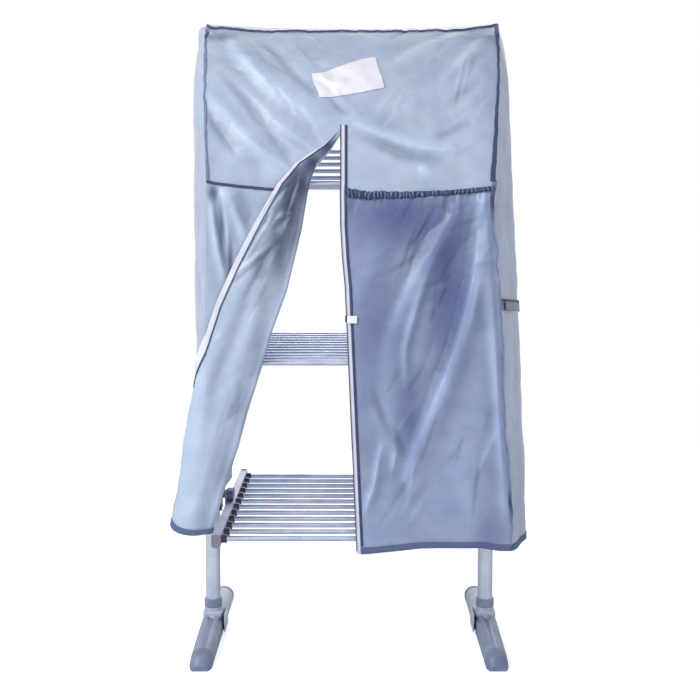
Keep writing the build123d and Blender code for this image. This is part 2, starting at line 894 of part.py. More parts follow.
def flap_turn_section(z):
    """Level slice of the left front panel, flat from its seam to the fold and round the fold."""
    fold = flap_reaches(z)[0]
    seam = side_x(-1, front_y, z) - cloth - panel_gap
    centre_y = front_y - flap_gap / 2
    with BuildSketch(Plane.XY.offset(z)) as section:
        with BuildLine():
            for radius in (flap_gap / 2 + cloth, flap_gap / 2):
                turn = radius * sqrt(0.5)
                tip = (radius - fold, centre_y)
                near_y = centre_y + radius
                Line((-seam, near_y), (-fold, near_y))
                ThreePointArc((-fold, near_y), (turn - fold, centre_y + turn), tip)
                ThreePointArc(tip, (turn - fold, centre_y - turn), (-fold, centre_y - radius))
            for x, y in ((-seam, front_y), (-fold, flap_y - cloth)):
                Line((x, y), (x, y + cloth))
        make_face()
    return section.sketch


def flap_lap_section(z):
    """Level slice of the layer that lies turned back on the left front panel."""
    fold, edge = flap_reaches(z)
    middle_x = -(fold + edge) / 2
    with BuildSketch(Plane.XY.offset(z)) as section:
        with BuildLine():
            for y in (flap_y - cloth, flap_y):
                ThreePointArc((-fold, y), (middle_x, y - flap_billow), (-edge, y))
            for x in (-fold, -edge):
                Line((x, flap_y - cloth), (x, flap_y))
        make_face()
    return section.sketch


def flap_side(points):
    """A piece of the left panel round the side of the cover, with this outline in side view."""
    with BuildPart() as wrap:
        with BuildSketch(Plane.XY.offset(flap_hem_z)):
            with BuildLine():
                for out in (0, cloth):
                    radius = flap_corner + out
                    turn = radius * sqrt(0.5)
                    centre_y = flap_y + flap_corner
                    corner = (-flap_wrap_x - radius, centre_y)
                    ThreePointArc(
                        (-flap_wrap_x, flap_y - out),
                        (-flap_wrap_x - turn, centre_y - turn),
                        corner,
                    )
                    ThreePointArc(
                        corner, (-flap_side_x - out, flap_side_y), (-flap_tip_x - out, flap_tip_y)
                    )
                Line((-flap_wrap_x, flap_y), (-flap_wrap_x, flap_y - cloth))
                Line((-flap_tip_x, flap_tip_y), (-flap_tip_x - cloth, flap_tip_y))
            make_face()
        extrude(amount=2 * (flap_wrap_z - flap_hem_z))
        with BuildSketch(Plane.YZ.offset(-2 * hem_half)):
            with BuildLine():
                Polyline(*points, close=True)
            make_face()
        extrude(amount=2 * hem_half, mode=Mode.INTERSECT)
    return wrap.part


def over_roof(points):
    """A piece of the turned-back layer above the seam, with this outline in front view."""
    with BuildPart() as corner:
        band = roof_band(flap_gap, flap_gap + cloth, 2 * seam_half)
        extrude(to_extrude=band, amount=2 * seam_half)
        extrude(to_extrude=front_face(points), amount=front_y / 2, mode=Mode.INTERSECT)
    return corner.part


def cover_front_left():
    """The left front panel, unzipped and thrown back round the left side of the cover."""
    top_fold, top_edge = flap_reaches(seam_z)
    low_fold = flap_reaches(flap_hem_z)[0]
    wrap_hem_z = flap_hem_z + flap_hem_slope * (flap_wrap_x - low_fold)
    corner = over_roof(
        [(-slit_offset - slit_point, slit_top), (-top_fold, seam_z), (-top_edge, seam_z)]
    )
    side = flap_side(
        [(flap_y - cloth, wrap_hem_z), (flap_tip_y, flap_tip_z - zip_width),
         (flap_tip_y, flap_tip_z), (flap_y - cloth, flap_wrap_z)]
    )
    with BuildPart() as panel:
        loft(sections=[flap_turn_section(z) for z in flap_levels], ruled=True)
        loft(sections=[flap_lap_section(z) for z in [seam_z + cloth, *flap_levels]], ruled=True)
        below = front_face(
            [(-low_fold, flap_hem_z), (-flap_wrap_x, wrap_hem_z), (-flap_wrap_x, flap_hem_z)]
        )
        extrude(to_extrude=below, amount=0.2 * front_y + flap_gap / 2, mode=Mode.SUBTRACT)
        add(side)
        add(corner)
    return panel


def left_tape_section(z):
    """Level slice of the tape on the free edge of the left panel, in front of the cover."""
    edge = flap_reaches(z)[1] + edge_gap
    with BuildSketch(Plane.XY.offset(z)) as section:
        with Locations((-edge - zip_width / 2, flap_y - cloth / 2)):
            Rectangle(zip_width, cloth)
    return section.sketch


def right_tape_section(z):
    """Level slice of the tape on the right panel."""
    with BuildSketch(Plane.XY.offset(z)) as section:
        with Locations((zip_x(z) + zip_width / 2, front_y + cloth / 2)):
            Rectangle(zip_width, cloth)
    return section.sketch


def cover_zip():
    """The two tapes of the zip, along both edges of the slit."""
    start = zip_x(seam_z)
    edge = flap_reaches(seam_z)[1] + edge_gap
    low = zip_width * 0.1
    high = zip_width * 1.3
    left_top = over_roof(
        [(-slit_offset - 2 * slit_point, slit_top), (-edge, seam_z), (-edge - zip_width, seam_z)]
    )
    left_side = flap_side(
        [(flap_y - cloth, flap_wrap_z + low), (flap_tip_y, flap_tip_z + low),
         (flap_tip_y, flap_tip_z + high), (flap_y - cloth, flap_wrap_z + high)]
    )
    with BuildPart() as right_top:
        extrude(to_extrude=roof_band(-cloth, 0, 2 * seam_half), amount=2 * seam_half)
        outline = front_face(
            [(start, seam_z), (start + zip_width, seam_z), (start + zip_width, slit_top),
             (start, slit_top)]
        )
        extrude(to_extrude=outline, amount=front_y / 2, mode=Mode.INTERSECT)
    with BuildPart() as tapes:
        levels = [seam_z + cloth, *flap_levels[:5]]
        loft(sections=[left_tape_section(z) for z in levels], ruled=True)
        for bottom, top in ((hem_z, zip_bend_z), (zip_bend_z, seam_z + cloth)):
            loft(sections=[right_tape_section(bottom), right_tape_section(top)])
        add(left_top)
        add(left_side)
        add(right_top.part)
    return tapes


def zip_slider():
    """The slider that straddles the right tape, with a flat tab to pull it by."""
    edge = zip_x(slider_z)
    low = slider_z - slider_length / 2
    high = slider_z + slider_length / 2
    lean = slider_length / 2 * zip_lean
    near = edge - slider_gap - lean
    front = front_y - slider_gap
    rear = front_y + cloth + slider_gap
    far = edge + zip_width - slider_wall
    tab_x = far + tab_length
    with BuildPart() as slider:
        block((near - slider_wall, front - slider_wall, low), (far, front, high))
        block((near - slider_wall, rear, low), (far, rear + slider_wall, high))
        block((near - slider_wall, front - slider_wall, low), (near, rear + slider_wall, high))
        block(
            (near, front - slider_wall - tab_thickness, slider_z - tab_height / 2),
            (tab_x, front - slider_wall, slider_z + tab_height / 2),
        )
    return slider


for side_name, side in (("left", -1), ("right", 1)):
    keep(post_tube(side), f"post_{side_name}")
    keep(foot_hub(side), f"foot_hub_{side_name}")
    keep(cover_side(side), f"cover_side_{side_name}")
    for way_name, way in (("front", -1), ("rear", 1)):
        keep(leg_shell(side, way), f"leg_{way_name}_{side_name}")
        keep(leg_toe(side, way), f"toe_{way_name}_{side_name}")

for tier_name, tier in zip(("lower", "middle", "upper"), tiers):
    for way_name, way in (("front", -1), ("rear", 1)):
        wing_name = f"{tier_name}_{way_name}"
        raised = top_rear_raise if wing_name == "upper_rear" else 0.0
        plane = wing_plane(tier, way, raised)
        keep(wing_rails(plane), f"rails_{wing_name}")
        keep(wing_bars(plane), f"bars_{wing_name}")
        keep(wing_clips(plane), f"clips_{wing_name}")
        keep(wing_wires(plane), f"heating_wires_{wing_name}")
        keep(wing_ends(plane), f"rail_ends_{wing_name}")

keep(post_caps(), "post_caps")
keep(top_bar(), "top_bar")
keep(post_collars(), "post_collars")
keep(leg_pins(), "leg_pins")
keep(hinge_blocks(), "hinge_blocks")
keep(hinge_pins(), "hinge_pins")
keep(wing_brackets(), "wing_brackets")
keep(bracket_screws(), "bracket_screws")
keep(control_box(), "control_box")
keep(rocker_switch(), "rocker_switch")
keep(power_inlet(), "power_inlet")
keep(cover_roof(), "cover_roof")
keep(cover_front_right(), "cover_front_right")
keep(cover_front_left(), "cover_front_left")
keep(cover_zip(), "cover_zip")
keep(zip_slider(), "zip_slider")
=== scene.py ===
import math

import bmesh
import bpy
import numpy as np
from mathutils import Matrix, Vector, noise


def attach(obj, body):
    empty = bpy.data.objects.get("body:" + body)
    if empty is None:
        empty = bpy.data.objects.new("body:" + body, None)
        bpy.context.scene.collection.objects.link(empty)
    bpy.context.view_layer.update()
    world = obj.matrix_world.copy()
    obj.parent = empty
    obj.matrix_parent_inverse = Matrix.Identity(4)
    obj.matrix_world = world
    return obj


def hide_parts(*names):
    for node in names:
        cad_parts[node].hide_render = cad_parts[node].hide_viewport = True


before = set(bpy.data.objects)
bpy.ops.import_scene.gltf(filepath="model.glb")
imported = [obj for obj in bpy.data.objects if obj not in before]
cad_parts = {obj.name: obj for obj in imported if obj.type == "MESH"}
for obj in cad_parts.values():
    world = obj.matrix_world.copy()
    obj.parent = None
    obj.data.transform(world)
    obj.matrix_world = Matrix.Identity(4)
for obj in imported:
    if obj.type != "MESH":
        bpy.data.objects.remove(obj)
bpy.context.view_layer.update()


# The two posts are drawn aluminium tubes, anodised a cool silver. Drawing leaves fine lines
# along them, and handling leaves slightly duller patches.
def tone(red, green, blue):
    """A colour as the eye reads it, each part from 0 to 255, made ready for a shader."""
    parts = [part / 255 for part in (red, green, blue)]
    return [((part + 0.055) / 1.055) ** 2.4 if part > 0.04 else part / 12.92 for part in parts] + [1]


def link(start, end, into=0):
    """Joins a socket, or a node's first output, to an input of another node."""
    socket = start.outputs[0] if isinstance(start, bpy.types.Node) else start
    end.id_data.links.new(socket, end.inputs[into])


def blank_material(name):
    """A material that holds only its output and a Principled shader."""
    material = bpy.data.materials.new(name)
    material.use_nodes = True
    return material, material.node_tree.nodes["Principled BSDF"]


def fill(node, **settings):
    """Fills in some of a node's inputs or settings, each by its name. A value that is itself a
    node or a socket is joined on."""
    for key, value in settings.items():
        title = key.replace("_", " ").title()
        if isinstance(value, (bpy.types.Node, bpy.types.NodeSocket)):
            link(value, node, title)
        elif title in node.inputs:
            node.inputs[title].default_value = value
        else:
            setattr(node, key, value)
    return node


def add_node(material, kind, **settings):
    """A new shader node of this kind, with some of its inputs or settings filled in."""
    return fill(material.node_tree.nodes.new(f"ShaderNode{kind}"), **settings)


def blotches(material, source, scale, detail=3.0, stretch=(1, 1, 1)):
    """Noise over a coordinate, stretched by a factor along each axis."""
    mapping = add_node(material, "Mapping", vector=source, scale=stretch)
    return add_node(material, "TexNoise", vector=mapping, scale=scale, detail=detail)


def two_tone(material, pattern, light, dark, spread=0.18):
    """A colour that drifts between two tones where a pattern is high or low."""
    ramp = add_node(material, "ValToRGB", fac=pattern)
    for stop, place, colour in zip(ramp.color_ramp.elements, (0.5 - spread, 0.5 + spread), (dark, light)):
        stop.position = place
        stop.color = tone(*colour)
    return ramp


def hard_surface(name, light, dark, rough, grain, stretch=(1, 1, 1), relief=0.0001, metal=0.0,
                 coat=0.0):
    """Metal or moulded plastic: two close tones, uneven gloss and a fine grain."""
    material, shader = blank_material(name)
    place = add_node(material, "TexCoord").outputs["Object"]
    wear = add_node(material, "MapRange", value=blotches(material, place, 60),
                    to_min=rough * 0.8, to_max=min(rough * 1.25, 1))
    grained = add_node(material, "Bump", strength=0.5, distance=relief,
                       height=blotches(material, place, grain, stretch=stretch))
    tint = two_tone(material, blotches(material, place, 24), light, dark)
    fill(shader, base_color=tint, roughness=wear, normal=grained, metallic=metal,
         coat_weight=coat, coat_roughness=0.2)
    return material


def dress(material, *names):
    """Gives CAD nodes their finish."""
    for name in names:
        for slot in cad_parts[name].material_slots:
            slot.material = material


post_silver = hard_surface("anodised_post", (208, 215, 229), (193, 201, 217), 0.34, 300,
                           stretch=(6, 6, 0.05), relief=0.00002, metal=0.85)
dress(post_silver, "post_left", "post_right")


# The tube across the top is thinner and bare, and the screws and pins are bright steel with
# turned faces.
bar_silver = hard_surface("drawn_bar", (200, 207, 224), (178, 186, 207), 0.30, 260,
                          stretch=(0.05, 6, 6), relief=0.00003, metal=1.0)
dress(bar_silver, "top_bar")
steel = hard_surface("bright_steel", (205, 207, 212), (170, 172, 180), 0.25, 900, metal=1.0)
dress(steel, "bracket_screws", "hinge_pins", "leg_pins")


# Each foot is moulded in a cool grey plastic with a fine spark-eroded grain. The hub and the
# rear leg take a paler copy of it, painted light where they are brightly lit. The toes are a
# softer rubber, and the caps and collars are smooth mouldings.
foot_grey = hard_surface("grained_foot", (126, 139, 167), (104, 118, 148), 0.38, 700,
                         relief=0.0005, coat=0.25)
# A paler copy of the foot plastic: painted light.
foot_painted_light = hard_surface("pale_foot_painted_light", (194, 203, 219), (171, 182, 202), 0.4, 700, relief=0.0005, coat=0.15)
toe_grey = hard_surface("rubber_toe", (118, 130, 156), (98, 111, 140), 0.45, 500, relief=0.0003)
collar_grey = hard_surface("collar", (138, 149, 172), (114, 126, 152), 0.33, 400, coat=0.25)
cap_grey = hard_surface("post_cap", (96, 102, 118), (74, 80, 96), 0.4, 500)
dress(collar_grey, "post_collars")
dress(cap_grey, "post_caps")
for side in ("left", "right"):
    dress(foot_grey, f"leg_front_{side}")
    dress(foot_painted_light, f"foot_hub_{side}", f"leg_rear_{side}")
    dress(toe_grey, f"toe_front_{side}", f"toe_rear_{side}")


# The wings: painted aluminium rails, bright bars with a heating core, dark clips that hold the
# bars, and grey end caps.
rail_silver = hard_surface("painted_rail", (214, 213, 234), (190, 188, 214), 0.32, 260,
                           stretch=(6, 0.2, 6), metal=0.6)
clip_dark = hard_surface("bar_clip", (52, 47, 80), (32, 28, 54), 0.35, 500, coat=0.3)
end_grey = hard_surface("rail_end", (168, 164, 172), (140, 136, 146), 0.4, 600)
core_copper = hard_surface("heating_core", (176, 120, 90), (140, 90, 66), 0.4, 500, metal=0.8)
for tier in ("lower", "middle", "upper"):
    for way in ("front", "rear"):
        wing = f"{tier}_{way}"
        dress(rail_silver, f"rails_{wing}")
        dress(bar_silver, f"bars_{wing}")
        dress(clip_dark, f"clips_{wing}")
        dress(end_grey, f"rail_ends_{wing}")
        dress(core_copper, f"heating_wires_{wing}")


# The hinges of the wings: a slate block at the inner end of each rail, on a near-black
# bracket screwed to the post.
block_slate = hard_surface("hinge_block", (98, 108, 134), (74, 84, 108), 0.4, 500, coat=0.1)
bracket_black = hard_surface("wing_bracket", (46, 48, 66), (30, 32, 46), 0.38, 500, coat=0.2)
dress(block_slate, "hinge_blocks")
dress(bracket_black, "wing_brackets")


# The control box on the rear of the right post is a two-part moulding with a rocker switch
# and a power inlet.
box_grey = hard_surface("control_box", (84, 90, 106), (64, 70, 86), 0.45, 700, relief=0.0003)
switch_black = hard_surface("rocker", (36, 37, 42), (24, 25, 30), 0.25, 400, coat=0.4)
inlet_black = hard_surface("inlet", (44, 45, 50), (30, 31, 36), 0.4, 500)
dress(box_grey, "control_box")
dress(switch_black, "rocker_switch")
dress(inlet_black, "power_inlet")


# The roof of the cover is cut from thin polyester and sewn to the front, side and ridge
# seams. It hangs from the post caps, with creases fanning down from both corners, and is cut
# open up its middle where the slit runs out.
SEAM = 1.092
ARC_Y, ARC_Z, ARC_R = 0.04106, 1.09203, 0.38606
ARC = ARC_R * math.radians(79.4)
STRIP, STRIP_TOP, STRIP_SLOPE, STRIP_BEND = 0.066, 1.4755, 0.163, 9.877
ROOF_EDGE = {-1: (0.3016, 0.335), 1: (0.308, 0.3505)}
CORNER_X, CAP_X = 0.308, 0.335
SEAM_BOW, SEAM_STEP, SEAM_FALL = 0.023, 0.005, 0.009
SAG, SAG_REACH = 0.012, 0.10
SLIT_TOP = 0.1165
INSIDE = Vector((0, 0, 0.9))
ZIP_BEND, ZIP_LEAN, ZIP_AT, TAPE = 0.860, 0.044, -0.008, 0.009
BOW_Z = [0.865, 0.930, 1.000, 1.070, 1.140, 1.210]
BOW_X = [0.0, -0.0060, -0.0100, -0.0106, -0.0080, -0.0040]
NARROW = 0.01
ROOF_DEPTH, ROOF_RISE = 1.1, (-0.006, 0.016)
ROOF_FOLDS = [
    (0.010, 0.030, 0.3, [(-0.265, 0.330), (-0.180, 0.235), (-0.096, 0.156), (-0.043, 0.113)]),
    (-0.006, 0.012, 0.0, [(-0.270, 0.250), (-0.198, 0.151), (-0.118, 0.036)]),
    (-0.005, 0.012, 0.0, [(-0.190, 0.370), (-0.115, 0.243), (-0.070, 0.200)]),
    (-0.005, 0.010, 0.0, [(-0.300, 0.150), (-0.240, 0.060)]),
    (-0.005, 0.012, 0.0, [(-0.322, 0.484), (-0.268, 0.337)]),
    (0.005, 0.016, 0.0, [(-0.290, 0.190), (-0.218, 0.092), (-0.150, 0.020)]),
    (-0.004, 0.008, 0.0, [(-0.040, 0.185), (-0.008, 0.150)]),
    (0.007, 0.016, 0.5, [(0.015, 0.125), (0.060, 0.100), (0.133, 0.074), (0.200, 0.066)]),
    (-0.006, 0.012, 0.0, [(0.020, 0.100), (0.091, 0.068), (0.133, 0.050), (0.190, 0.045)]),
    (-0.005, 0.012, 0.0, [(0.266, 0.136), (0.180, 0.090)]),
    (0.006, 0.022, 0.0, [(0.090, 0.280), (0.182, 0.345), (0.245, 0.398)]),
    (-0.005, 0.012, 0.0, [(0.280, 0.240), (0.220, 0.170)]),
    (-0.005, 0.014, 0.0, [(0.302, 0.335), (0.225, 0.240)]),
    (0.006, 0.020, 0.0, [(0.312, 0.400), (0.255, 0.290), (0.190, 0.210)]),
    (0.005, 0.014, 0.0, [(0.150, 0.034), (0.176, 0.006)]),
    (0.006, 0.018, 0.0, [(-0.300, 0.420), (-0.235, 0.300), (-0.150, 0.180)]),
]


def rounded(points, times=2):
    """A line of points with its corners cut, so that a fold along it bends softly."""
    line = [np.array(point, float) for point in points]
    for _ in range(times if len(points) > 2 else 0):
        cut = [line[0]]
        for a, b in zip(line, line[1:]):
            cut += [0.75 * a + 0.25 * b, 0.25 * a + 0.75 * b]
        line = cut + [line[-1]]
    return line


def fold(a, b, height, width, lean, points):
    """Rise of the cloth at (a, b) from a fold along a line, steeper on one side. A narrow fold
    has a sharper crest."""
    line = rounded(points)
    lengths = [np.hypot(*(q - p)) for p, q in zip(line, line[1:])]
    whole = sum(lengths)
    nearest = np.full(a.shape, 9.0)
    share = np.zeros(a.shape)
    side = np.zeros(a.shape)
    start = 0.0
    for p, q, length in zip(line, line[1:], lengths):
        along = (q - p) / length
        da, db = a - p[0], b - p[1]
        t = np.clip(da * along[0] + db * along[1], 0, length)
        gap = np.hypot(da - t * along[0], db - t * along[1])
        near = gap < nearest
        nearest = np.where(near, gap, nearest)
        share = np.where(near, (start + t) / whole, share)
        side = np.where(near, np.sign(along[0] * db - along[1] * da), side)
        start += length
    taper = np.sin(np.pi * (0.08 + 0.84 * share)) ** 0.8
    sharpness = 1.4 if width < NARROW else 2
    return height * taper * np.exp(-(nearest / (width * (1 + lean * side))) ** sharpness)


def folds(a, b, rows):
    """All the folds of one panel, added up."""
    return sum(fold(a, b, *row) for row in rows)


def crumple(a, b, scale, height, seed=0.0):
    """Small uneven dents, as thin cloth keeps from being packed."""
    dents = []
    for x, y in zip((a * scale).tolist(), (b * scale).tolist()):
        broad = noise.noise((x, y, seed))
        fine = noise.noise((x * 2, y * 2, seed + 7))
        dents.append(broad + 0.5 * abs(fine))
    return height * np.array(dents)


def creases(seed, count, low, high, heading, spread, height=0.0022):
    """Short straight packing creases, scattered between two corners about one heading."""
    pick = np.random.default_rng(seed)
    rows = []
    for _ in range(count):
        a, b = pick.uniform(low[0], high[0]), pick.uniform(low[1], high[1])
        angle = math.radians(heading + pick.uniform(-spread, spread))
        length = pick.uniform(0.05, 0.16)
        end = (a + length * math.cos(angle), b + length * math.sin(angle))
        rise = height * pick.uniform(0.5, 1.0) * pick.choice([-1, 1])
        rows.append((rise, pick.uniform(0.004, 0.009), pick.uniform(-0.4, 0.4), [(a, b), end]))
    return rows


ROOF_CREASES = (creases(1, 22, (-0.30, 0.10), (-0.05, 0.45), -42, 22)
                + creases(2, 22, (0.03, 0.05), (0.28, 0.40), 48, 30))


def ease(value, width):
    """Goes from 0 at a seam to 1 at this distance from it."""
    share = np.clip(value / width, 0, 1)
    return share * share * (3 - 2 * share)


def roof_side(side, s):
    """Distance of the roof's side seam from the middle, at this height up the slope."""
    low, high = ROOF_EDGE[side]
    return low + (high - low) * np.clip(s / ARC, 0, 1) ** 1.2


def seam_dip(x):
    """How far the seam across the front hangs below the roof's lower corners."""
    bow = SEAM_BOW * np.clip(1 - (x / CORNER_X) ** 2, 0, 1)
    return bow + SEAM_STEP * ease(x + 0.01, 0.05) + SEAM_FALL * np.clip(x / CORNER_X, 0, 1)


def zip_x(z):
    """The free edge of the tape on the right side of the slit."""
    return ZIP_AT + ZIP_LEAN * np.clip(ZIP_BEND - z, 0, None) + np.interp(z, BOW_Z, BOW_X)


def roof_at(x, s, lift=0.0):
    """Points of the roof, x across it and s up its slope from the seam across the front."""
    turn = np.clip(s, 0, ARC) / ARC_R
    over = np.clip(s - ARC, 0, None)
    y = ARC_Y - ARC_R * np.cos(turn) + over
    z = ARC_Z + ARC_R * np.sin(turn) + np.minimum(s, 0)
    strip_z = STRIP_TOP - STRIP_SLOPE * y - STRIP_BEND * y * y
    z = np.where(over > 0, strip_z, z)
    tilt = np.where(over > 0, np.arctan2(1, STRIP_SLOPE + 2 * STRIP_BEND * y), turn)
    out_y, out_z = -np.cos(tilt), np.sin(tilt)
    side = np.where(x < 0, roof_side(-1, s), roof_side(1, s))
    inner = ease(side - np.abs(x), 0.02) * ease(s + seam_dip(x), 0.02) * ease(ARC - s, 0.06)
    rise = ROOF_DEPTH * folds(x, s, ROOF_FOLDS) + folds(x, s, ROOF_CREASES) + crumple(x, s, 13, 0.0026)
    rise = np.clip(rise * inner, *ROOF_RISE) + lift
    sag = SAG * np.clip(1 - (x / CAP_X) ** 2, 0, 1) ** 0.7 * np.exp(-(((s - ARC) / SAG_REACH) ** 2))
    return np.stack([x, y + rise * out_y, z + rise * out_z - sag], axis=1)


def note_fold_shade(mesh, rounds=60, full=0.0050):
    """Stores how far each point stands proud of the cloth around it, from -1 to 1. The cloth's
    colour reads it to paint light on the crests and shade in the hollows.
    """
    points = np.empty(len(mesh.vertices) * 3)
    mesh.vertices.foreach_get("co", points)
    points = points.reshape(-1, 3)
    normals = np.array([normal.vector[:] for normal in mesh.vertex_normals])
    ends = np.array([edge.vertices[:] for edge in mesh.edges])
    both = np.concatenate([ends, ends[:, ::-1]])
    count = np.bincount(both[:, 0], minlength=len(points))[:, None]
    smooth = points
    for _ in range(rounds):
        near = [np.bincount(both[:, 0], smooth[both[:, 1], axis], len(points)) for axis in range(3)]
        smooth = np.stack(near, axis=1) / count
    proud = np.sum((points - smooth) * normals, axis=1) / full
    # The relief layer feeds the painted light and shade in the cloth's colour.
    layer = mesh.attributes.new("relief", "FLOAT", "POINT")
    layer.data.foreach_set("value", np.clip(proud, -1, 1))


def add_object(name, data):
    """A new object in the scene."""
    made = bpy.data.objects.new(name, data)
    bpy.context.scene.collection.objects.link(made)
    return made


def lay(name, grids, thick=0.0):
    """A piece of cloth. Each grid is (cells across, cells along, place), and place gives its
    points and their flat coordinates. Grids that share an edge are sewn together."""
    cloth = bmesh.new()
    flat = {}
    for across, along, place in grids:
        verts = bmesh.ops.create_grid(cloth, x_segments=across, y_segments=along, size=0.5)["verts"]
        spots = np.array([vert.co[:] for vert in verts]) + 0.5
        points, laid_flat = place(spots[:, 0], spots[:, 1])
        for vert, point, spot in zip(verts, points, zip(*laid_flat)):
            vert.co = point
            flat[vert] = spot
        cloth.normal_update()
        faces = list({face for vert in verts for face in vert.link_faces})
        if sum(face.normal.dot(face.calc_center_median() - INSIDE) for face in faces) < 0:
            bmesh.ops.reverse_faces(cloth, faces=faces)
    layer = cloth.loops.layers.uv.new("cloth")
    for face in cloth.faces:
        face.smooth = True
        for loop in face.loops:
            loop[layer].uv = flat[loop.vert]
    if len(grids) > 1:
        bmesh.ops.remove_doubles(cloth, verts=cloth.verts[:], dist=0.00002)
    mesh = bpy.data.meshes.new(name)
    cloth.to_mesh(mesh)
    cloth.free()
    note_fold_shade(mesh)
    piece = add_object(name, mesh)
    if thick:
        layers = piece.modifiers.new("thickness", "SOLIDIFY")
        layers.thickness = thick
        layers.offset = 1
    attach(piece, "cover")
    return piece


def paint_shade_spots(material, flat, tint, painted_shade_tone, spots):
    """Painted shade: the colour darkens towards a deep tone in spots. Each spot is its middle on the flat
    cloth, its half sizes and share.
    """
    for middle, half, share in spots:
        away = add_node(material, "VectorMath", operation="SUBTRACT", vector=flat)
        away.inputs[1].default_value = (*middle, 0)
        scaled = add_node(material, "VectorMath", operation="DIVIDE", vector=away)
        scaled.inputs[1].default_value = (*half, 1)
        gap = add_node(material, "VectorMath", operation="LENGTH", vector=scaled)
        reach = add_node(material, "MapRange", interpolation_type="SMOOTHSTEP", to_min=share,
                         to_max=0.0, value=gap.outputs["Value"])
        mixed = add_node(material, "Mix", data_type="RGBA", factor=reach, a=tint, b=painted_shade_tone)
        tint = mixed.outputs["Result"]
    return tint


def mixed_shader(material, share, first, second):
    """Two shaders mixed, by a plain share or by a socket."""
    both = add_node(material, "MixShader", fac=share)
    link(first, both, 1)
    link(second, both, 2)
    return both


def thin_cloth(name, light, dark, rough, glow, sheen=0.1, weave=390, crinkle=0.0012, painted_shade_tone=(0, 0, 0),
               spots=(), fold_shade_contrast=0.27):
    """Woven polyester: crossed threads, faint drifts of colour and fine crinkles. Its colour is
    lifted on fold crests and lowered in the hollows as painted light and shade, and darkened
    in given spots as painted shade. Some light comes through it from behind."""
    material, shader = blank_material(name)
    flat = add_node(material, "UVMap", uv_map="cloth")
    drift = two_tone(material, blotches(material, flat, 14, 5), light, dark, 0.22)
    # Painted light and shade: the colour is scaled up where the cloth stands proud and down in its
    # hollows.
    proud = add_node(material, "Attribute", attribute_name="relief")
    level = add_node(material, "MapRange", value=proud.outputs["Fac"], from_min=-0.8, from_max=0.8,
                     to_min=1 - fold_shade_contrast, to_max=1 + fold_shade_contrast)
    painted_fold_light = add_node(material, "VectorMath", operation="SCALE", vector=drift, scale=level)
    tint = paint_shade_spots(material, flat, painted_fold_light, tone(*painted_shade_tone), spots)
    crossed = add_node(material, "Math", operation="MULTIPLY")
    for number, way in enumerate(("X", "Y")):
        link(add_node(material, "TexWave", vector=flat, bands_direction=way, scale=weave), crossed, number)
    fine = add_node(material, "Bump", strength=0.12, distance=0.0002, height=crossed)
    bent = add_node(material, "VectorMath", operation="SCALE", scale=0.06,
                    vector=blotches(material, flat, 9).outputs["Color"])
    strayed = add_node(material, "VectorMath", operation="ADD", vector=flat)
    link(bent, strayed, 1)
    facets = add_node(material, "TexVoronoi", feature="DISTANCE_TO_EDGE", vector=strayed, scale=17)
    pressed = add_node(material, "Bump", strength=0.35, distance=crinkle * 6, height=facets, normal=fine)
    dents = add_node(material, "Bump", strength=0.6, distance=crinkle,
                     height=blotches(material, flat, 70, 4), normal=pressed)
    gloss = add_node(material, "MapRange", value=blotches(material, flat, 30),
                     to_min=rough - 0.08, to_max=rough + 0.1)
    fill(shader, base_color=tint, normal=dents, roughness=gloss, sheen_weight=sheen, sheen_roughness=0.4)
    if glow:
        through = add_node(material, "BsdfTranslucent", color=tint, normal=dents)
        both = mixed_shader(material, glow, shader, through)
        link(both, material.node_tree.nodes["Material Output"], "Surface")
    return material


def finish_with(material, *pieces):
    """Gives new pieces their finish."""
    for piece in pieces:
        piece.data.materials.append(material)


APEX_X = 0.0097
LEFT_FOLD_X = [APEX_X, 0.041, 0.073, 0.088]
LEFT_FOLD_Z = [1.208, 1.1625, 1.130, 1.087]


def downwards(z, heights, values):
    """The value at a height, from a list that runs from the top down."""
    return np.interp(-z, [-height for height in heights], values)


def roof_place(side):
    """The roof on one side of the middle, up to the ridge and over it."""
    def place(u, w):
        s = w * (ARC + STRIP)
        height = SEAM + s
        slit = np.clip((SLIT_TOP - s) / 0.01, 0, 1)
        if side < 0:
            inner = -downwards(height, LEFT_FOLD_Z, LEFT_FOLD_X)
        else:
            inner = -APEX_X + (zip_x(height) + TAPE + APEX_X) * slit
        x = inner + (side * roof_side(side, s) - inner) * u
        s = s - seam_dip(x) * (1 - w) ** 8
        return roof_at(x, s), (x, s)
    return place


# The roof's spots are painted shade at both top corners over the post caps and down both sides.
roof_cloth = thin_cloth("roof_polyester", (178, 192, 211), (159, 174, 197), 0.42, 0.15,
                        painted_shade_tone=(104, 120, 160), spots=[
    ((-0.296, 0.405), (0.060, 0.055), 1.0), ((0.310, 0.405), (0.090, 0.070), 1.0),
    ((0.330, 0.200), (0.080, 0.300), 0.35), ((-0.310, 0.100), (0.060, 0.200), 0.25),
])
roof = lay("roof_sheet", [(100, 180, roof_place(-1)), (110, 180, roof_place(1))])
finish_with(roof_cloth, roof)


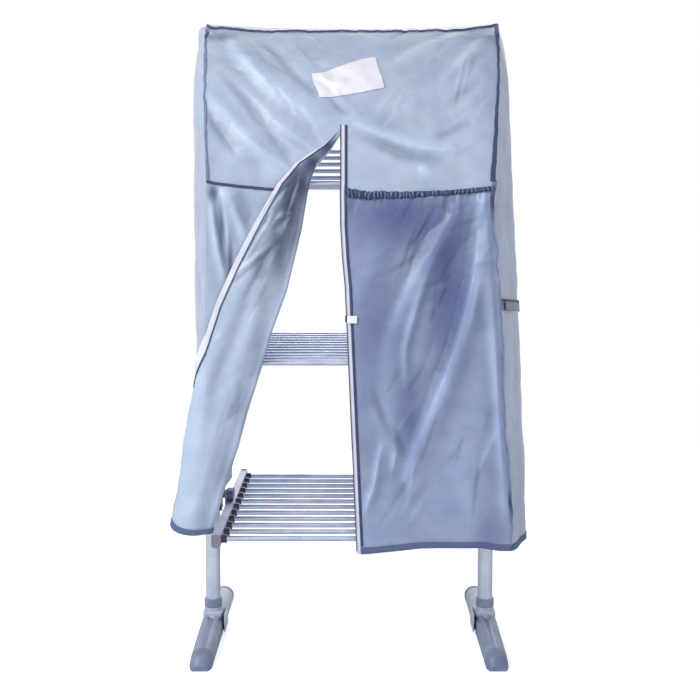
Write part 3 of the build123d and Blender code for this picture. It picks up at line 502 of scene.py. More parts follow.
# The right front panel hangs from the seam under the roof, between the zip and the side seam.
# It keeps one long fold from the top corner down to the hem, and the gathers of its seam.
FRONT, HEM = -0.345, 0.300
GATHER, PLEAT, FRONT_RISE = 0.0020, 0.0035, (-0.007, 0.022)
RIGHT_HEM_X = [0.02, 0.153, 0.282, 0.325, 0.35]
RIGHT_HEM_Z = [0.292, 0.305, 0.307, 0.300, 0.300]
RIGHT_SEAM_Z = [0.30, 0.41, 0.49, 0.59, 0.74, 0.83, 0.94, 1.04, 1.092]
RIGHT_SEAM_X = [0.350, 0.347, 0.3425, 0.333, 0.328, 0.322, 0.313, 0.302, 0.308]
FRONT_FOLDS = [
    (0.017, 0.020, 0.35, [(0.292, 1.075), (0.282, 1.050), (0.273, 0.947), (0.260, 0.861), (0.239, 0.775),
                          (0.213, 0.694), (0.185, 0.625), (0.157, 0.556), (0.135, 0.506), (0.125, 0.457)]),
    (-0.010, 0.028, 0.0, [(0.262, 1.030), (0.235, 0.900), (0.200, 0.760), (0.150, 0.640)]),
    (0.010, 0.022, 0.2, [(0.275, 1.080), (0.228, 1.022), (0.178, 0.947), (0.148, 0.893), (0.110, 0.818),
                         (0.084, 0.743), (0.077, 0.668)]),
    (-0.006, 0.016, 0.0, [(0.190, 1.030), (0.150, 0.960), (0.128, 0.900)]),
    (0.007, 0.010, 0.0, [(0.160, 0.880), (0.130, 0.790), (0.116, 0.732), (0.122, 0.660)]),
    (0.010, 0.009, 0.0, [(0.070, 0.530), (0.062, 0.500), (0.054, 0.442), (0.037, 0.399), (0.024, 0.363)]),
    (-0.006, 0.010, 0.0, [(0.100, 0.565), (0.118, 0.500)]),
    (0.006, 0.008, 0.0, [(0.100, 0.520), (0.092, 0.470)]),
    (-0.005, 0.010, 0.0, [(0.050, 0.650), (0.088, 0.545)]),
    (0.008, 0.014, 0.0, [(0.294, 0.900), (0.305, 0.750), (0.318, 0.629), (0.336, 0.369)]),
    (0.007, 0.030, 0.0, [(0.230, 0.560), (0.250, 0.450), (0.262, 0.330)]),
    (0.006, 0.026, 0.0, [(0.080, 1.040), (0.050, 0.930), (0.030, 0.830)]),
]
FRONT_CREASES = (creases(8, 24, (0.05, 0.34), (0.30, 0.95), 68, 18, 0.0026)
                 + creases(9, 10, (0.04, 0.85), (0.28, 1.02), 40, 35))


def wobble(a, pitch, seed=0.0):
    """A value that wanders between about -1 and 1 along a, once or twice in each pitch."""
    return np.array([noise.noise((value / pitch, seed, 0.5)) for value in a.tolist()]) * 1.6


def right_seam(z):
    """Where the right front panel meets the side panel."""
    return np.interp(z, RIGHT_SEAM_Z, RIGHT_SEAM_X)


def front_at(x, z, lift=0.0):
    """Points of the front panels, with their folds, between the zip and the side seams."""
    edge = ease(right_seam(z) - x, 0.018) * ease(x - zip_x(z) - TAPE, 0.02)
    below = SEAM - seam_dip(x) - z
    rise = folds(x, z, FRONT_FOLDS) + folds(x, z, FRONT_CREASES) + crumple(x, z, 9, 0.0030, 5)
    rise = rise * ease(below, 0.03)
    gathers = GATHER * wobble(x, 0.009, 8) * np.exp(-((below - 0.012) / 0.016) ** 2)
    pleats = PLEAT * wobble(x + 0.25 * below, 0.022, 9) * np.exp(-((below - 0.03) / 0.03) ** 2) * edge
    rise = np.clip(rise * edge + (gathers + pleats), *FRONT_RISE)
    return np.stack([x, FRONT - rise - lift, z], axis=1)


def right_place(u, w):
    """The right front panel, from the tape to the side seam and from the hem to the roof."""
    z = HEM + (SEAM - HEM) * w
    start = zip_x(z) + TAPE
    x = start + (right_seam(z) - start) * u
    hem = np.interp(x, RIGHT_HEM_X, RIGHT_HEM_Z)
    z = z + (hem - HEM) * (1 - w) ** 4 - seam_dip(x) * w ** 6
    return front_at(x, z), (x, z)


# The right front panel takes a darker copy of the roof polyester as painted shade, and its spots paint
# deeper shade, most over its upper part.
front_cloth_shaded = thin_cloth("front_polyester_shaded", (150, 164, 193), (132, 147, 180), 0.42, 0.1, fold_shade_contrast=0.42,
                         painted_shade_tone=(70, 84, 130), spots=[
    ((0.208, 0.880), (0.085, 0.290), 0.95), ((0.110, 1.020), (0.200, 0.140), 0.95),
    ((0.130, 0.600), (0.055, 0.150), 0.70), ((0.060, 0.800), (0.100, 0.240), 0.55),
    ((0.300, 0.330), (0.050, 0.140), 0.4), ((0.030, 0.600), (0.050, 0.200), 0.3),
])
front_right = lay("front_right_sheet", [(150, 200, right_place)])
finish_with(front_cloth_shaded, front_right)


# The side panels are cut wider than the frame, so they swell out past the posts and run down
# to a loose hem. The left one hangs closer in, because the thrown-back front panel pulls it.
REAR = 0.360
SIDE_Z = [0.27, 0.47, 0.64, 0.868, 1.033, 1.257, 1.386, 1.476]
SIDE_X = {
    1: [0.415, 0.408, 0.401, 0.390, 0.382, 0.371, 0.363, 0.358],
    -1: [0.352, 0.350, 0.349, 0.351, 0.355, 0.357, 0.354, 0.347],
}
REAR_X = {1: [0.326, 0.326, 0.325, 0.322, 0.318, 0.312, 0.309, 0.308],
          -1: [0.324, 0.323, 0.321, 0.318, 0.315, 0.311, 0.309, 0.308]}
LEFT_SEAM_Z = [0.30, 0.50, 0.73, 0.90, 1.092]
LEFT_SEAM_X = [0.335, 0.322, 0.308, 0.304, 0.3016]
SHOULDER, CAP_REACH, POST_REACH = 0.090, 0.0255, 0.0205
RIDGE_Z, RIDGE_Y, CAP_Z = 1.4715, -0.030, 1.452
CAP_LOW, POST_TOP = 1.36, 1.44
SIDE_FOLD, FOLD_STEPS, SIDE_RISE = 0.008, 16, (-0.003, 0.006)
HEM_DIP, DRAWN_UP, DRAWN_REACH = 0.022, 0.075, 0.24
SIDE_CREASES = (creases(5, 26, (-0.30, 0.34), (0.30, 1.15), 88, 14)
                + creases(6, 12, (-0.20, 1.20), (0.20, 1.36), 60, 50))


def roof_top(y):
    """Height of the roof's side seam at y. The rear half is a stretched copy of the front."""
    y = np.where(y > 0, y * FRONT / REAR, y)
    arc = ARC_Z + np.sqrt(np.clip(ARC_R ** 2 - (y - ARC_Y) ** 2, 0, None))
    return np.where(y > RIDGE_Y, RIDGE_Z, arc)


def side_at(side, y, z, lift=0.0):
    """Points of a side panel, by their depth and height."""
    seam_z, seam_x = (LEFT_SEAM_Z, LEFT_SEAM_X) if side < 0 else (RIGHT_SEAM_Z, RIGHT_SEAM_X)
    edge = np.where(y > 0, np.interp(z, SIDE_Z, REAR_X[side]), np.interp(z, seam_z, seam_x))
    reach = np.where(y > 0, REAR, -FRONT)
    belly = 1 - np.clip(np.abs(y) / reach, 0, 1) ** 2.2
    top = roof_top(y)
    shoulder = top - SHOULDER
    level = np.minimum(z, shoulder)
    wide = edge + (np.interp(level, SIDE_Z, SIDE_X[side]) - edge) * belly
    arc_s = ARC_R * np.arccos(np.clip((ARC_Y - np.minimum(y, RIDGE_Y)) / ARC_R, -1, 1))
    taper = (1 - np.clip(y / REAR, 0, 1)) ** 1.4
    rear_roof = CORNER_X + (roof_side(side, ARC) - CORNER_X) * taper
    at_roof = np.where(y > 0, rear_roof, roof_side(side, arc_s))
    climb = np.clip((z - shoulder) / SHOULDER, 0, 1)
    x = wide + (at_roof - wide) * climb ** 1.9
    step = FOLD_STEPS / np.pi * np.arccos(-np.clip(y / reach, -1, 1))
    middle = np.abs(step - FOLD_STEPS / 2) < FOLD_STEPS / 4
    wave = np.where(middle, 0.5 - 0.5 * np.cos(np.pi * step), 0)
    depth = SIDE_FOLD * (1 - 0.4 * ease(z - 0.85, 0.53)) * (1 - climb) ** 1.3
    inner = ease(y - FRONT, 0.03) * ease(REAR - y, 0.03) * ease(top - z, 0.16)
    ripple = folds(y, z, SIDE_CREASES) + crumple(y, z, 14, 0.0030, 11 + side)
    x = x + depth * wave + np.clip(ripple * inner, *SIDE_RISE)
    cap = CAP_X + np.sqrt(np.clip(CAP_REACH ** 2 - y ** 2 - np.clip(z - CAP_Z, 0, None) ** 2, 0, None))
    x = np.where((z > CAP_LOW) & (top - z > 0.002) & (np.abs(y) < CAP_REACH), np.maximum(x, cap), x)
    post = CAP_X + np.sqrt(np.clip(POST_REACH ** 2 - y ** 2, 0, None))
    x = np.where((z < POST_TOP) & (np.abs(y) < POST_REACH), np.maximum(x, post), x)
    return np.stack([side * (x + lift), y, z], axis=1)


def side_depth(u):
    """The depth at a share of the way back along a side panel."""
    return 0.5 * (FRONT + REAR) - 0.5 * (REAR - FRONT) * np.cos(np.pi * u)


def side_hem(side, y):
    """Height of a side panel's hem. The left one is drawn up at its front corner."""
    dip = HEM_DIP * np.sin(np.pi * np.clip((y - FRONT) / (REAR - FRONT), 0, 1)) ** 0.8
    return HEM - dip + (DRAWN_UP * (1 - ease(y - FRONT, DRAWN_REACH)) if side < 0 else 0.0)


def side_place(side):
    """A side panel, from the front seam to its free rear edge and from hem to roof."""
    def place(u, w):
        y = side_depth(u)
        low, top = side_hem(side, y), roof_top(y)
        z = low + (top - low) * (1 - (1 - w) ** 1.35)
        return side_at(side, y, z), (y, z)
    return place


side_cloth = thin_cloth("side_polyester", (186, 198, 220), (169, 183, 208), 0.38, 0.15, fold_shade_contrast=0.13)
side_left = lay("side_left_sheet", [(150, 200, side_place(-1))])
side_right = lay("side_right_sheet", [(150, 200, side_place(1))])
finish_with(side_cloth, side_left, side_right)


# The left front panel is unzipped and thrown back. A flat part hangs between its side seam
# and the fold. From there the cloth turns forward in a soft roll that grows towards the hem,
# and its free part wraps round the corner of the airer.
FOLD_R = [0.0097, 0.041, 0.073, 0.088, 0.105, 0.137, 0.169, 0.195, 0.223, 0.244, 0.276, 0.304]
FOLD_Z = [1.208, 1.1625, 1.130, 1.087, 0.990, 0.861, 0.776, 0.690, 0.605, 0.530, 0.434, 0.3425]
EDGE_R = [0.0110, 0.052, 0.106, 0.142, 0.187, 0.234, 0.273, 0.305, 0.327, 0.400, 0.470, 0.540]
EDGE_Z = [1.207, 1.167, 1.130, 1.087, 1.007, 0.915, 0.829, 0.732, 0.657, 0.575, 0.520, 0.480]
FLAT_FOLDS = [
    (0.008, 0.012, 0.0, [(-0.298, 1.080), (-0.280, 0.960), (-0.258, 0.862)]),
    (-0.009, 0.010, 0.0, [(-0.286, 1.075), (-0.266, 0.960), (-0.246, 0.862)]),
    (0.008, 0.010, 0.0, [(-0.268, 1.060), (-0.254, 0.960), (-0.247, 0.880)]),
    (-0.008, 0.009, 0.0, [(-0.252, 0.990), (-0.243, 0.875)]),
    (0.009, 0.014, 0.0, [(-0.262, 1.075), (-0.225, 0.990), (-0.200, 0.930)]),
    (-0.006, 0.016, 0.0, [(-0.236, 1.070), (-0.206, 0.985)]),
]
HEM_LEFT, FLAT_RISE, FLAP_RISE = 0.3425, (-0.006, 0.009), (-0.003, 0.012)
CORNER_AT = ([0.33, 0.41, 0.54, 0.646], [0.322, 0.3155, 0.3126, 0.3035])
CORNER_ROUND = ([0.33, 0.62], [0.050, 0.016])
CORNER_LEAN = ([0.33, 0.62], [0.10, 0.08])
ROLL = ([0, 0.2, 0.6, 1], [0.002, 0.004, 0.007, 0.011])
FLAP_FOLDS = [
    (0.008, 0.022, 0.0, [(0.110, 1.060), (0.175, 0.880), (0.240, 0.680), (0.290, 0.500), (0.330, 0.350)]),
    (-0.004, 0.014, 0.0, [(0.140, 1.020), (0.215, 0.830), (0.290, 0.640), (0.350, 0.500)]),
    (0.006, 0.020, 0.0, [(0.175, 0.980), (0.260, 0.790), (0.330, 0.620), (0.400, 0.470)]),
    (-0.003, 0.012, 0.0, [(0.250, 0.620), (0.290, 0.480), (0.315, 0.380)]),
]
FLAP_CREASES = (creases(12, 16, (0.09, 0.95), (0.17, 1.12), -58, 22, 0.004)
                + creases(13, 16, (0.15, 0.42), (0.34, 0.90), -66, 26))


def flat_left_place(u, w):
    """The flat part of the left panel, from its side seam to the fold."""
    z = HEM_LEFT + (SEAM - HEM_LEFT) * w
    seam_x = np.interp(z, LEFT_SEAM_Z, LEFT_SEAM_X)
    x = -(seam_x + (downwards(z, FOLD_Z, FOLD_R) - seam_x) * u)
    z = z - seam_dip(x) * w ** 6
    edge = ease(u, 0.1) * ease(1 - u, 0.1) * ease(SEAM - seam_dip(x) - z, 0.02)
    open_part = 0.2 + 0.8 * ease(-x - downwards(z, EDGE_Z, EDGE_R), 0.03)
    rise = folds(x, z, FLAT_FOLDS) + crumple(x, z, 20, 0.0022, 15)
    rise = np.clip(rise * edge * open_part, *FLAT_RISE)
    return np.stack([x, FRONT - rise, z], axis=1), (x, z)


def flap_lines(t):
    """The fold and the zip edge of the thrown-back part, from the top of the slit to the hem."""
    steps = np.linspace(0, 1, len(FOLD_R))
    return [np.interp(t, steps, line) for line in (FOLD_R, FOLD_Z, EDGE_R, EDGE_Z)]


def flap_at(t, c, lift=0.0):
    """Points of the thrown-back part: t runs from the top of the slit to the hem, and c from
    the fold at 0 to the zip at 1. Below 0 the cloth turns back under itself."""
    fold_r, fold_z, edge_r, edge_z = flap_lines(t)
    roll = np.interp(t, *ROLL)
    lap = np.clip(c, 0, None)
    r = fold_r + (edge_r - fold_r) * lap
    bow = 0.045 * 4 * np.clip(lap, 0, 1) * (1 - np.clip(lap, 0, 1)) * t ** 8
    z = fold_z + (edge_z - fold_z) * lap - bow
    corner, radius, lean = [np.interp(z, *levels) for levels in (CORNER_AT, CORNER_ROUND, CORNER_LEAN)]
    turn = np.clip((r - corner) / radius, 0, np.pi / 2)
    past = np.clip(r - corner - radius * np.pi / 2, 0, None)
    x = -np.minimum(r, corner) - radius * np.sin(turn) - past * np.sin(lean)
    slope_y = ARC_Y - np.sqrt(np.clip(ARC_R ** 2 - (z - ARC_Z) ** 2, 0, None))
    base_y = np.where(z > SEAM, slope_y, FRONT)
    y = base_y + radius * (1 - np.cos(turn)) + past * np.cos(lean)
    shape = folds(r, z, FLAP_FOLDS) + folds(r, z, FLAP_CREASES) + crumple(r, z, 14, 0.0026, 21)
    shape = np.clip(shape, *FLAP_RISE) * ease(t, 0.2) * ease(lap, 0.12) * ease(1.1 - lap, 0.2)
    lap = np.clip(lap, 0, 1)
    rise = 2 * roll * (1 - 0.45 * lap) + 0.35 * roll * np.sin(np.pi * lap) + shape + lift
    under = np.clip(c + 1, 0, 1) * np.pi
    in_turn = c < 0
    rise = np.where(in_turn, roll - (roll + lift) * np.cos(under), rise)
    x = x - rise * np.sin(turn) + np.where(in_turn, (roll + lift) * np.sin(under), 0)
    y = y - rise * np.cos(turn)
    return np.stack([x, y, z], axis=1), (r + np.minimum(c, 0) * np.pi * roll, z)


def flap_place(u, w):
    """The thrown-back part, from under the fold to the zip."""
    turn_share = 0.1
    c = np.where(u < turn_share, u / turn_share - 1, (u - turn_share) / (1 - turn_share))
    return flap_at(1 - w, c)


# The spots are painted shade: deep shade in the crumpled upper part beside the tape, in the creases of the
# flat part, and along the roll of the fold.
flap_cloth = thin_cloth("lining_polyester", (178, 193, 213), (160, 176, 199), 0.4, 0.12,
                        painted_shade_tone=(32, 44, 82), spots=[
    ((0.125, 1.035), (0.048, 0.150), 1.0), ((0.150, 0.960), (0.038, 0.120), 0.85),
    ((0.102, 1.085), (0.050, 0.080), 1.0), ((0.076, 1.130), (0.045, 0.055), 1.0),
    ((0.045, 1.165), (0.045, 0.045), 1.0), ((0.185, 0.900), (0.034, 0.120), 0.5),
    ((-0.288, 1.068), (0.018, 0.030), 0.8), ((-0.252, 0.905), (0.010, 0.090), 0.9),
    ((-0.270, 0.990), (0.010, 0.080), 0.6), ((-0.225, 0.930), (0.130, 0.260), 0.16),
    ((0.305, 0.350), (0.050, 0.110), 0.30), ((0.262, 0.480), (0.045, 0.110), 0.30),
    ((0.222, 0.600), (0.040, 0.110), 0.28), ((0.188, 0.710), (0.034, 0.110), 0.26),
])
front_left = lay("front_left_sheet", [(90, 160, flat_left_place), (110, 220, flap_place)])
finish_with(flap_cloth, front_left)


# The zip: a white woven tape on each edge of the slit, with a dark coil sewn along its free
# edge.
tape_white = thin_cloth("zip_tape", (222, 224, 236), (200, 205, 220), 0.6, 0.0, weave=520)
coil_navy = thin_cloth("zip_coil", (62, 70, 104), (36, 42, 70), 0.35, 0.0, weave=160)
ZIP_LIFT, TAPE_THICK, COIL_THICK = 0.0012, 0.0006, 0.0012
HIGH = SLIT_TOP + 0.004
TAPE_SHOWN = ([0, 0.06, 0.2, 0.4], [0.3, 0.4, 0.65, 0.9])


def skin_at(x, g, lift=0.0):
    """The front below the seam and the roof above it, by height g measured from the seam."""
    below = g < 0
    return np.where(below[:, None], front_at(x, SEAM + g, lift), roof_at(x, g, lift))


def right_tape_place(start, width, low, high, lift):
    """A strip beside the free edge of the right panel, between two heights from the seam."""
    def place(u, w):
        g = low + (high - low) * w
        x = zip_x(SEAM + np.minimum(g, 0)) + start + width * u
        return skin_at(x, g, lift), (width * u, g)
    return place


def left_tape_place(start, width, lift):
    """A strip along the free edge of the thrown-back panel."""
    def place(u, w):
        t = 0.004 + 0.996 * (1 - w)
        fold_r, fold_z, edge_r, edge_z = flap_lines(t)
        run = np.hypot(edge_r - fold_r, edge_z - fold_z)
        shown = np.interp(t, *TAPE_SHOWN)
        points = flap_at(t, 1 + (start + width * u) * shown / np.clip(run, 0.02, None), lift)[0]
        return points, (width * u, w * 1.3)
    return place


tape_low = HEM - SEAM - 0.006
coil_low = HEM - SEAM
tape_right = lay("zip_tape_right", [(6, 300, right_tape_place(0, TAPE, tape_low, HIGH, 0.0))],
                 thick=TAPE_THICK)
tape_left = lay("zip_tape_left", [(8, 300, left_tape_place(-0.002, 0.014, 0.0004))],
                thick=TAPE_THICK)
finish_with(tape_white, tape_right, tape_left)
coil_right = lay("zip_coil_right", [(4, 300, right_tape_place(-0.0008, 0.0020, coil_low, HIGH, ZIP_LIFT))],
                 thick=COIL_THICK)
coil_left = lay("zip_coil_left", [(4, 300, left_tape_place(-0.0030, 0.0022, ZIP_LIFT))],
                thick=COIL_THICK)
finish_with(coil_navy, coil_right, coil_left)


# Navy overlock binds the seams: along the ridge, down the right side, ruffled across the
# front under the roof, and round the hems.
def stitched(name, light, dark, thread, bands="DIAGONAL", scale=125, stray=1.5, painted_shade_tone=(0, 0, 0), spots=()):
    """Bound cloth under overlock stitches or pleats."""
    material = thin_cloth(name, light, dark, 0.7, 0.0, sheen=0.0, weave=230, crinkle=0.003,
                          painted_shade_tone=painted_shade_tone, spots=spots)
    shader = material.node_tree.nodes["Principled BSDF"]
    ground = shader.inputs["Base Color"].links[0].from_socket
    flat = add_node(material, "UVMap", uv_map="cloth")
    slant = add_node(material, "TexWave", vector=flat, bands_direction=bands, scale=scale,
                     distortion=stray, detail=1)
    shown = add_node(material, "MapRange", value=slant.outputs["Fac"], from_min=0.62, from_max=0.9)
    both = add_node(material, "Mix", data_type="RGBA", factor=shown, a=ground, b=tone(*thread))
    fill(shader, base_color=both.outputs["Result"])
    return material


overlock = stitched("navy_overlock", (36, 44, 78), (22, 28, 58), (80, 92, 130))
HEM_BAND, HEM_LIFT, BINDING = 0.014, 0.0012, 0.0008
RIDGE_LEFT, RIDGE_LONG, RIDGE_S = -0.330, 0.676, 0.446
RUFFLE_LEFT, RUFFLE_LONG = -0.0040, 0.310
RUFFLE_WIDE = ([0, 0.25, 0.6, 1], [0.019, 0.015, 0.010, 0.009])
BAND_OUTER, BAND_INNER = 0.3005, 0.146
ROOF_BAND_WIDE = ([0, 0.2, 0.5, 0.8, 1], [0.011, 0.008, 0.0045, 0.009, 0.010])
FRONT_BAND_LOW, FRONT_BAND_HIGH = 0.31, 1.095
FRONT_BAND_WIDE = ([0.31, 0.36, 0.40, 0.46, 0.6, 0.9, 1.02, 1.088],
                   [0.002, 0.005, 0.007, 0.005, 0.003, 0.002, 0.006, 0.010])


def ridge_band(u, w):
    """The binding along the ridge seam, standing a little proud."""
    x = RIDGE_LEFT + RIDGE_LONG * u
    s = RIDGE_S + 0.05 * np.abs(x / 0.34) ** 6 + 0.011 * (w - 0.5)
    s = s + 0.002 * wobble(x, 0.05, 2)
    lift = 0.001 + 0.003 * np.sin(np.pi * w) + 0.0010 * wobble(x, 0.012)
    return roof_at(x, s, lift), (x, 0.02 * w)


def side_seam_band(u, w):
    """The binding down the right side seam of the roof."""
    s = (ARC - 0.01) * w
    wide = np.interp(w, *ROOF_BAND_WIDE)
    x = roof_side(1, s) + 0.001 - wide * (1 - u) + 0.0008 * wobble(s, 0.02)
    return roof_at(x, s, 0.002 + 0.001 * wobble(s, 0.01, 3)), (0.009 * u, s)


def low_seam_band(u, w):
    """The puckered binding down the right seam of the front."""
    z = FRONT_BAND_LOW + (FRONT_BAND_HIGH - FRONT_BAND_LOW) * w
    wide = np.interp(z, *FRONT_BAND_WIDE)
    x = right_seam(z) + wide * (u - 0.5) + 0.0020 * wobble(z, 0.030)
    return front_at(x, z, 0.002 + 0.0015 * wobble(z, 0.015, 4)), (0.006 * u, z)


def ruffle_band(u, w):
    """The ruffled binding across the front, widest beside the slit."""
    x = RUFFLE_LEFT + RUFFLE_LONG * u
    wide = np.interp(u, *RUFFLE_WIDE)
    g = -seam_dip(x) + wide * (w - 0.5) + 0.0020 * wobble(x, 0.006) * (1 - u)
    lift = 0.0020 + 0.003 * np.sin(np.pi * w) + 0.0030 * wobble(x + 0.004 * w, 0.006, 5) * (1 - 0.6 * u)
    return roof_at(x, g, lift), (x, wide * w)


def left_binding(u, w):
    """The thin binding across the front on the left."""
    x = -BAND_OUTER + (BAND_OUTER - BAND_INNER) * u
    g = -seam_dip(x) + 0.006 * (w - 0.5)
    g = g + 0.0008 * wobble(x, 0.012)
    return roof_at(x, g, 0.0015 + 0.0008 * wobble(x, 0.01, 6)), (x, 0.006 * w)


def left_seam_band(u, w):
    """The crinkled seam down the left side of the roof."""
    s = (ARC - 0.01) * w
    wide = 0.005 + 0.002 * wobble(s, 0.05, 7)
    x = -roof_side(-1, s) + wide * u + 0.0015 * wobble(s, 0.03, 8)
    return roof_at(x, s, 0.0015 + 0.001 * wobble(s, 0.01, 9)), (0.006 * u, s)


def right_hem_band(u, w):
    """The turned hem of the right panel."""
    points, flat = right_place(u, w * HEM_BAND / (SEAM - HEM))
    points[:, 1] -= HEM_LIFT
    return points, flat


def side_hem_band(side):
    """The turned hem of a side panel."""
    def place(u, w):
        y = side_depth(u)
        z = side_hem(side, y) + HEM_BAND * w
        return side_at(side, y, z, HEM_LIFT), (y, z)
    return place


def flap_hem_band(u, w):
    """The turned hem of the thrown-back panel."""
    return flap_at(1 - 0.012 * w, -0.6 + 1.6 * u, 0.0010)


ridge_trim = lay("ridge_binding", [(220, 8, ridge_band)], thick=BINDING)
side_seam_trim = lay("side_seam_binding", [(4, 200, side_seam_band)], thick=BINDING)
low_seam_trim = lay("front_seam_binding", [(4, 240, low_seam_band)], thick=BINDING)
ruffle = lay("ruffled_binding", [(320, 8, ruffle_band)], thick=BINDING)
left_trim = lay("left_binding", [(100, 4, left_binding)], thick=BINDING)
left_seam_trim = lay("left_seam_binding", [(4, 200, left_seam_band)], thick=BINDING)
tape_band = right_tape_place(TAPE, 0.0055, HEM - SEAM + 0.01, HIGH, 0.0008)
tape_trim = lay("tape_binding", [(4, 260, tape_band)], thick=0.0005)
hem_right = lay("hem_front_right", [(120, 5, right_hem_band)], thick=BINDING)
hem_flap = lay("hem_front_left", [(110, 5, flap_hem_band)], thick=BINDING)
hem_side_left = lay("hem_side_left", [(120, 5, side_hem_band(-1))], thick=BINDING)
hem_side_right = lay("hem_side_right", [(120, 5, side_hem_band(1))], thick=BINDING)
hem_cloth = stitched("hem_fold", (78, 92, 130), (56, 69, 106), (100, 114, 150))
# Its spots paint shade on the seam bindings near the top corners and low down the right front seam.
seam_cloth = stitched("seam_fold", (150, 160, 194), (112, 124, 164), (88, 98, 140),
                      painted_shade_tone=(34, 42, 76), spots=[
    ((0.003, 1.050), (0.030, 0.060), 1.0), ((0.003, 0.405), (0.030, 0.060), 1.0),
])
pleated = stitched("pleated_ruffle", (44, 54, 90), (22, 28, 58), (96, 110, 148),
                   bands="X", scale=40, stray=9)
finish_with(overlock, ridge_trim, side_seam_trim, left_trim, tape_trim)
finish_with(seam_cloth, left_seam_trim, low_seam_trim)
finish_with(pleated, ruffle)
finish_with(hem_cloth, hem_right, hem_flap, hem_side_left, hem_side_right)


# A blank patch of white polyester is sewn to the roof, up from the slit. It is sewn by its
# edge only and has crumpled with the cloth under it.
PATCH_LOW = [(-0.063, 0.186), (-0.020, 0.190), (0.030, 0.200), (0.077, 0.212)]
PATCH_HIGH = [(-0.082, 0.252), (-0.053, 0.256), (0.025, 0.298), (0.058, 0.307)]


def patch_place(u, w):
    """The patch between its lower and upper edge, lightly crumpled."""
    steps = np.linspace(0, 1, len(PATCH_LOW))
    low, high = [[np.interp(u, steps, row) for row in zip(*edge)] for edge in (PATCH_LOW, PATCH_HIGH)]
    x = low[0] + (high[0] - low[0]) * w + 0.001 * np.sin(7 * w)
    s = low[1] + (high[1] - low[1]) * w
    lift = 0.0012 + 0.003 * np.sin(np.pi * u) * np.sin(np.pi * w) * (1 + wobble(u + 0.4 * w, 0.25))
    return roof_at(x, s, lift), (x, s)


patch_white = thin_cloth("patch_polyester", (232, 230, 238), (214, 213, 224), 0.5, 0.0)
patch = lay("blank_patch", [(50, 30, patch_place)], thick=0.0005)
finish_with(patch_white, patch)


# A webbing strap with a dark edging runs back along the right side from its seam. A plastic
# slide sits near its front end.
STRAP_START, STRAP_END, STRAP_Z, STRAP_FALL = -0.343, 0.200, 0.829, 0.097
STRAP_HALF, STRAP_LIFT, STRAP_THICK = 0.008, 0.003, 0.0012
STRAP_EDGE_Z, STRAP_EDGE_HALF = STRAP_Z + 0.013, 0.0022
SLIDE_START, SLIDE_END, SLIDE_HALF, SLIDE_LIFT = -0.340, -0.245, 0.0095, 0.0075


def strap_place(low, high, centre, half, lift):
    """A strip of webbing along the right side."""
    def place(u, w):
        y = low + (high - low) * u
        z = centre - STRAP_FALL * (y - STRAP_START) + half * (2 * w - 1)
        return side_at(1, y, z, lift), (y, z)
    return place


webbing = thin_cloth("strap_webbing", (150, 156, 178), (128, 134, 158), 0.7, 0.0, weave=200)
edging = thin_cloth("strap_edging", (48, 54, 78), (34, 40, 62), 0.6, 0.0, weave=200)
slide_navy = hard_surface("strap_slide", (58, 66, 94), (42, 48, 72), 0.35, 500)
strap_run = strap_place(STRAP_START, STRAP_END, STRAP_Z, STRAP_HALF, STRAP_LIFT)
edge_run = strap_place(STRAP_START, STRAP_END, STRAP_EDGE_Z, STRAP_EDGE_HALF, STRAP_LIFT)
slide_run = strap_place(SLIDE_START, SLIDE_END, STRAP_Z, SLIDE_HALF, SLIDE_LIFT)
strap = lay("side_strap", [(90, 6, strap_run)], thick=STRAP_THICK)
strap_edge = lay("side_strap_edge", [(90, 4, edge_run)], thick=STRAP_THICK)
slide = lay("strap_slide", [(16, 8, slide_run)], thick=0.002)
finish_with(webbing, strap)
finish_with(edging, strap_edge)
finish_with(slide_navy, slide)


# The slider is a small die-cast body that straddles the tape on the right of the slit. A folded
# white pull tab hangs in front of it.
def add_block(shape, low, high, bevel=0.0006):
    """A box with softened edges, added to a shape."""
    made = bmesh.ops.create_cube(shape, size=1)["verts"]
    size = [b - a for a, b in zip(low, high)]
    middle = Vector([(a + b) / 2 for a, b in zip(low, high)])
    bmesh.ops.scale(shape, vec=size, verts=made)
    bmesh.ops.translate(shape, vec=middle, verts=made)
    edges = {edge for vert in made for edge in vert.link_edges}
    bmesh.ops.bevel(shape, geom=list(edges), offset=bevel, affect="EDGES", segments=3, profile=0.5,
                    material=-1)


def make_piece(name, shape, material, body):
    """A finished hard piece from its shape."""
    for face in shape.faces:
        face.smooth = True
    mesh = bpy.data.meshes.new(name)
    shape.to_mesh(mesh)
    shape.free()
    piece = add_object(name, mesh)
    piece.data.materials.append(material)
    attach(piece, body)
    return piece


SLIDER_Z, SLIDER_LEFT, SLIDER_RIGHT = 0.801, -0.0081, 0.0016
SLIDER_PLATES = ((-0.3476, -0.3456), (-0.3434, -0.3414))
slider_metal = hard_surface("slider_metal", (70, 76, 98), (44, 50, 70), 0.3, 900, metal=0.6)
tab_white = hard_surface("pull_tab", (246, 246, 250), (228, 230, 238), 0.45, 900)
body_shape = bmesh.new()
for front, back in SLIDER_PLATES:
    add_block(body_shape, (SLIDER_LEFT, front, SLIDER_Z - 0.007), (SLIDER_RIGHT, back, SLIDER_Z + 0.007))
rib_low = (SLIDER_LEFT, SLIDER_PLATES[0][0], SLIDER_Z - 0.006)
rib_high = (SLIDER_LEFT + 0.0018, SLIDER_PLATES[1][1], SLIDER_Z + 0.006)
add_block(body_shape, rib_low, rib_high)
add_block(body_shape, (-0.0050, -0.3496, SLIDER_Z - 0.002), (-0.0020, -0.3470, SLIDER_Z + 0.004))
slider_body = make_piece("slider_body", body_shape, slider_metal, "slider")
tab_shape = bmesh.new()
add_block(tab_shape, (-0.0040, -0.3506, SLIDER_Z - 0.009), (0.0170, -0.3492, SLIDER_Z + 0.007))
make_piece("slider_tab", tab_shape, tab_white, "slider")
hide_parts("zip_slider")
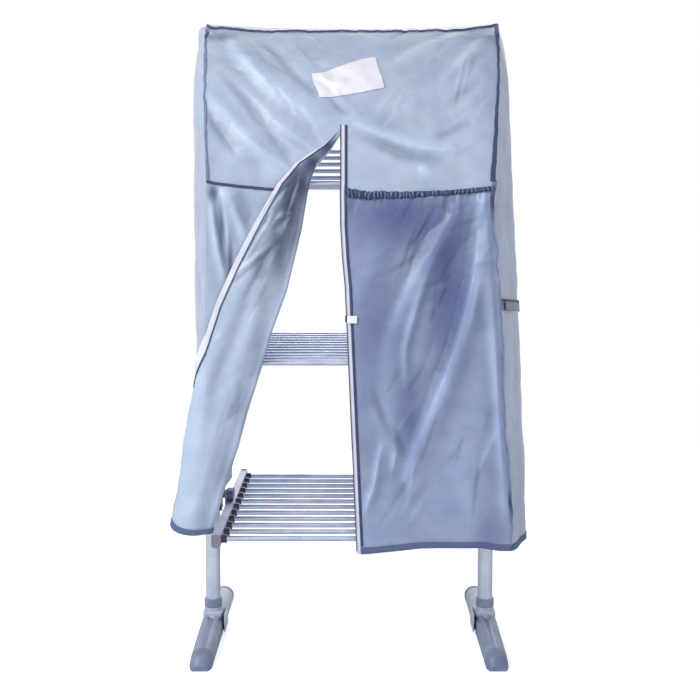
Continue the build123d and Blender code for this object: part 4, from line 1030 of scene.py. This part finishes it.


# Each foot has a guard plate on its inner side, and the legs fold beside it. A near-black
# block behind each plate is painted shade in the slots there. A row is a block's nearer and
# farther side, half its depth, its foot and its top.
SLOT_SHADE_ROWS = [(0.3050, 0.3088, 0.030, 0.010, 0.046), (0.3086, 0.3112, 0.021, 0.012, 0.044)]
PLATE_BLOCKS = [(0.3025, 0.3051, 0.034, 0.006, 0.050)]
slot_shade_finish = hard_surface("slot_shade_block", (30, 32, 44), (20, 22, 32), 0.5, 500)


def guard_piece(name, rows, facing, material, bevel):
    """Blocks on the inner side of one foot."""
    shape = bmesh.new()
    for near, far, half, low, high in rows:
        across = sorted((facing * near, facing * far))
        add_block(shape, (across[0], -half, low), (across[1], half, high), bevel)
    make_piece(name, shape, material, "frame")


for side, facing in (("left", -1), ("right", 1)):
    # The near-black blocks are painted shade in the slots.
    guard_piece(f"slot_shade_block_{side}", SLOT_SHADE_ROWS, facing, slot_shade_finish, 0.0006)
    guard_piece(f"guard_plate_{side}", PLATE_BLOCKS, facing, foot_painted_light, 0.0009)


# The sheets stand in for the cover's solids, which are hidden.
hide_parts("cover_roof")
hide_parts("cover_front_right")
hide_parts("cover_side_left")
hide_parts("cover_side_right")
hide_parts("cover_front_left")
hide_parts("cover_zip")


# The studio: a pale floor, a large soft light from the front left, weaker ones from the right
# and from behind, and a white surround.
floor_shape = bmesh.new()
bmesh.ops.create_grid(floor_shape, x_segments=1, y_segments=1, size=2.2)
floor_mesh = bpy.data.meshes.new("floor")
floor_shape.to_mesh(floor_mesh)
floor_shape.free()
floor = add_object("floor", floor_mesh)
paper = bpy.data.materials.new("floor_paper")
paper.use_nodes = True
paper.node_tree.nodes.clear()
paper_face = add_node(paper, "BsdfDiffuse", color=tone(236, 238, 242))
paper_glow = add_node(paper, "Emission", color=(1, 1, 1, 1), strength=0.62)
paper_dark = add_node(paper, "Emission", strength=0.0)
paper_sight = add_node(paper, "LightPath").outputs["Is Camera Ray"]
paper_sum = add_node(paper, "AddShader")
link(paper_face, paper_sum)
link(mixed_shader(paper, paper_sight, paper_dark, paper_glow), paper_sum, 1)
add_node(paper, "OutputMaterial", surface=paper_sum)
floor.data.materials.append(paper)

world = bpy.data.worlds.new("surround")
bpy.context.scene.world = world
world.use_nodes = True
world.node_tree.nodes.clear()
sky = add_node(world, "Background", color=(0.93, 0.95, 1, 1), strength=0.30)
white = add_node(world, "Background", color=(1, 1, 1, 1), strength=1.0)
sight = add_node(world, "LightPath").outputs
seen_by_eye = add_node(world, "Math", operation="ADD", use_clamp=True)
link(sight["Is Camera Ray"], seen_by_eye)
link(sight["Is Glossy Ray"], seen_by_eye, 1)
seen_clear = add_node(world, "Math", operation="ADD", use_clamp=True)
link(seen_by_eye, seen_clear)
link(sight["Is Transmission Ray"], seen_clear, 1)
add_node(world, "OutputWorld", surface=mixed_shader(world, seen_clear, sky, white))


def soft_light(name, place, aim, size, power, colour=(1, 1, 1)):
    """A square area lamp that faces a point."""
    lamp = add_object(name, bpy.data.lights.new(name, "AREA"))
    lamp.data.size = size
    lamp.data.energy = power
    lamp.data.color = colour
    lamp.location = place
    lamp.rotation_euler = (Vector(aim) - Vector(place)).to_track_quat("-Z", "Y").to_euler()


soft_light("key_light", (-2.5, -2.5, 2.9), (0, 0, 0.8), 1.4, 125)
soft_light("fill_light", (1.6, -3.4, 1.5), (0, 0, 0.8), 1.8, 34, (0.94, 0.96, 1))
soft_light("rim_light", (0.5, 3.0, 2.6), (0, 0, 0.9), 2.0, 40)

camera = add_object("camera", bpy.data.cameras.new("camera"))
camera.data.lens = 58.51
camera.data.sensor_width = 36
camera.data.shift_y = -0.085
camera.location = (0.0022, -2.7546, 1.0131)
camera.rotation_euler = (math.radians(90 - 3.5965), 0, 0)
bpy.context.scene.camera = camera
bpy.context.scene.view_settings.view_transform = "Standard"
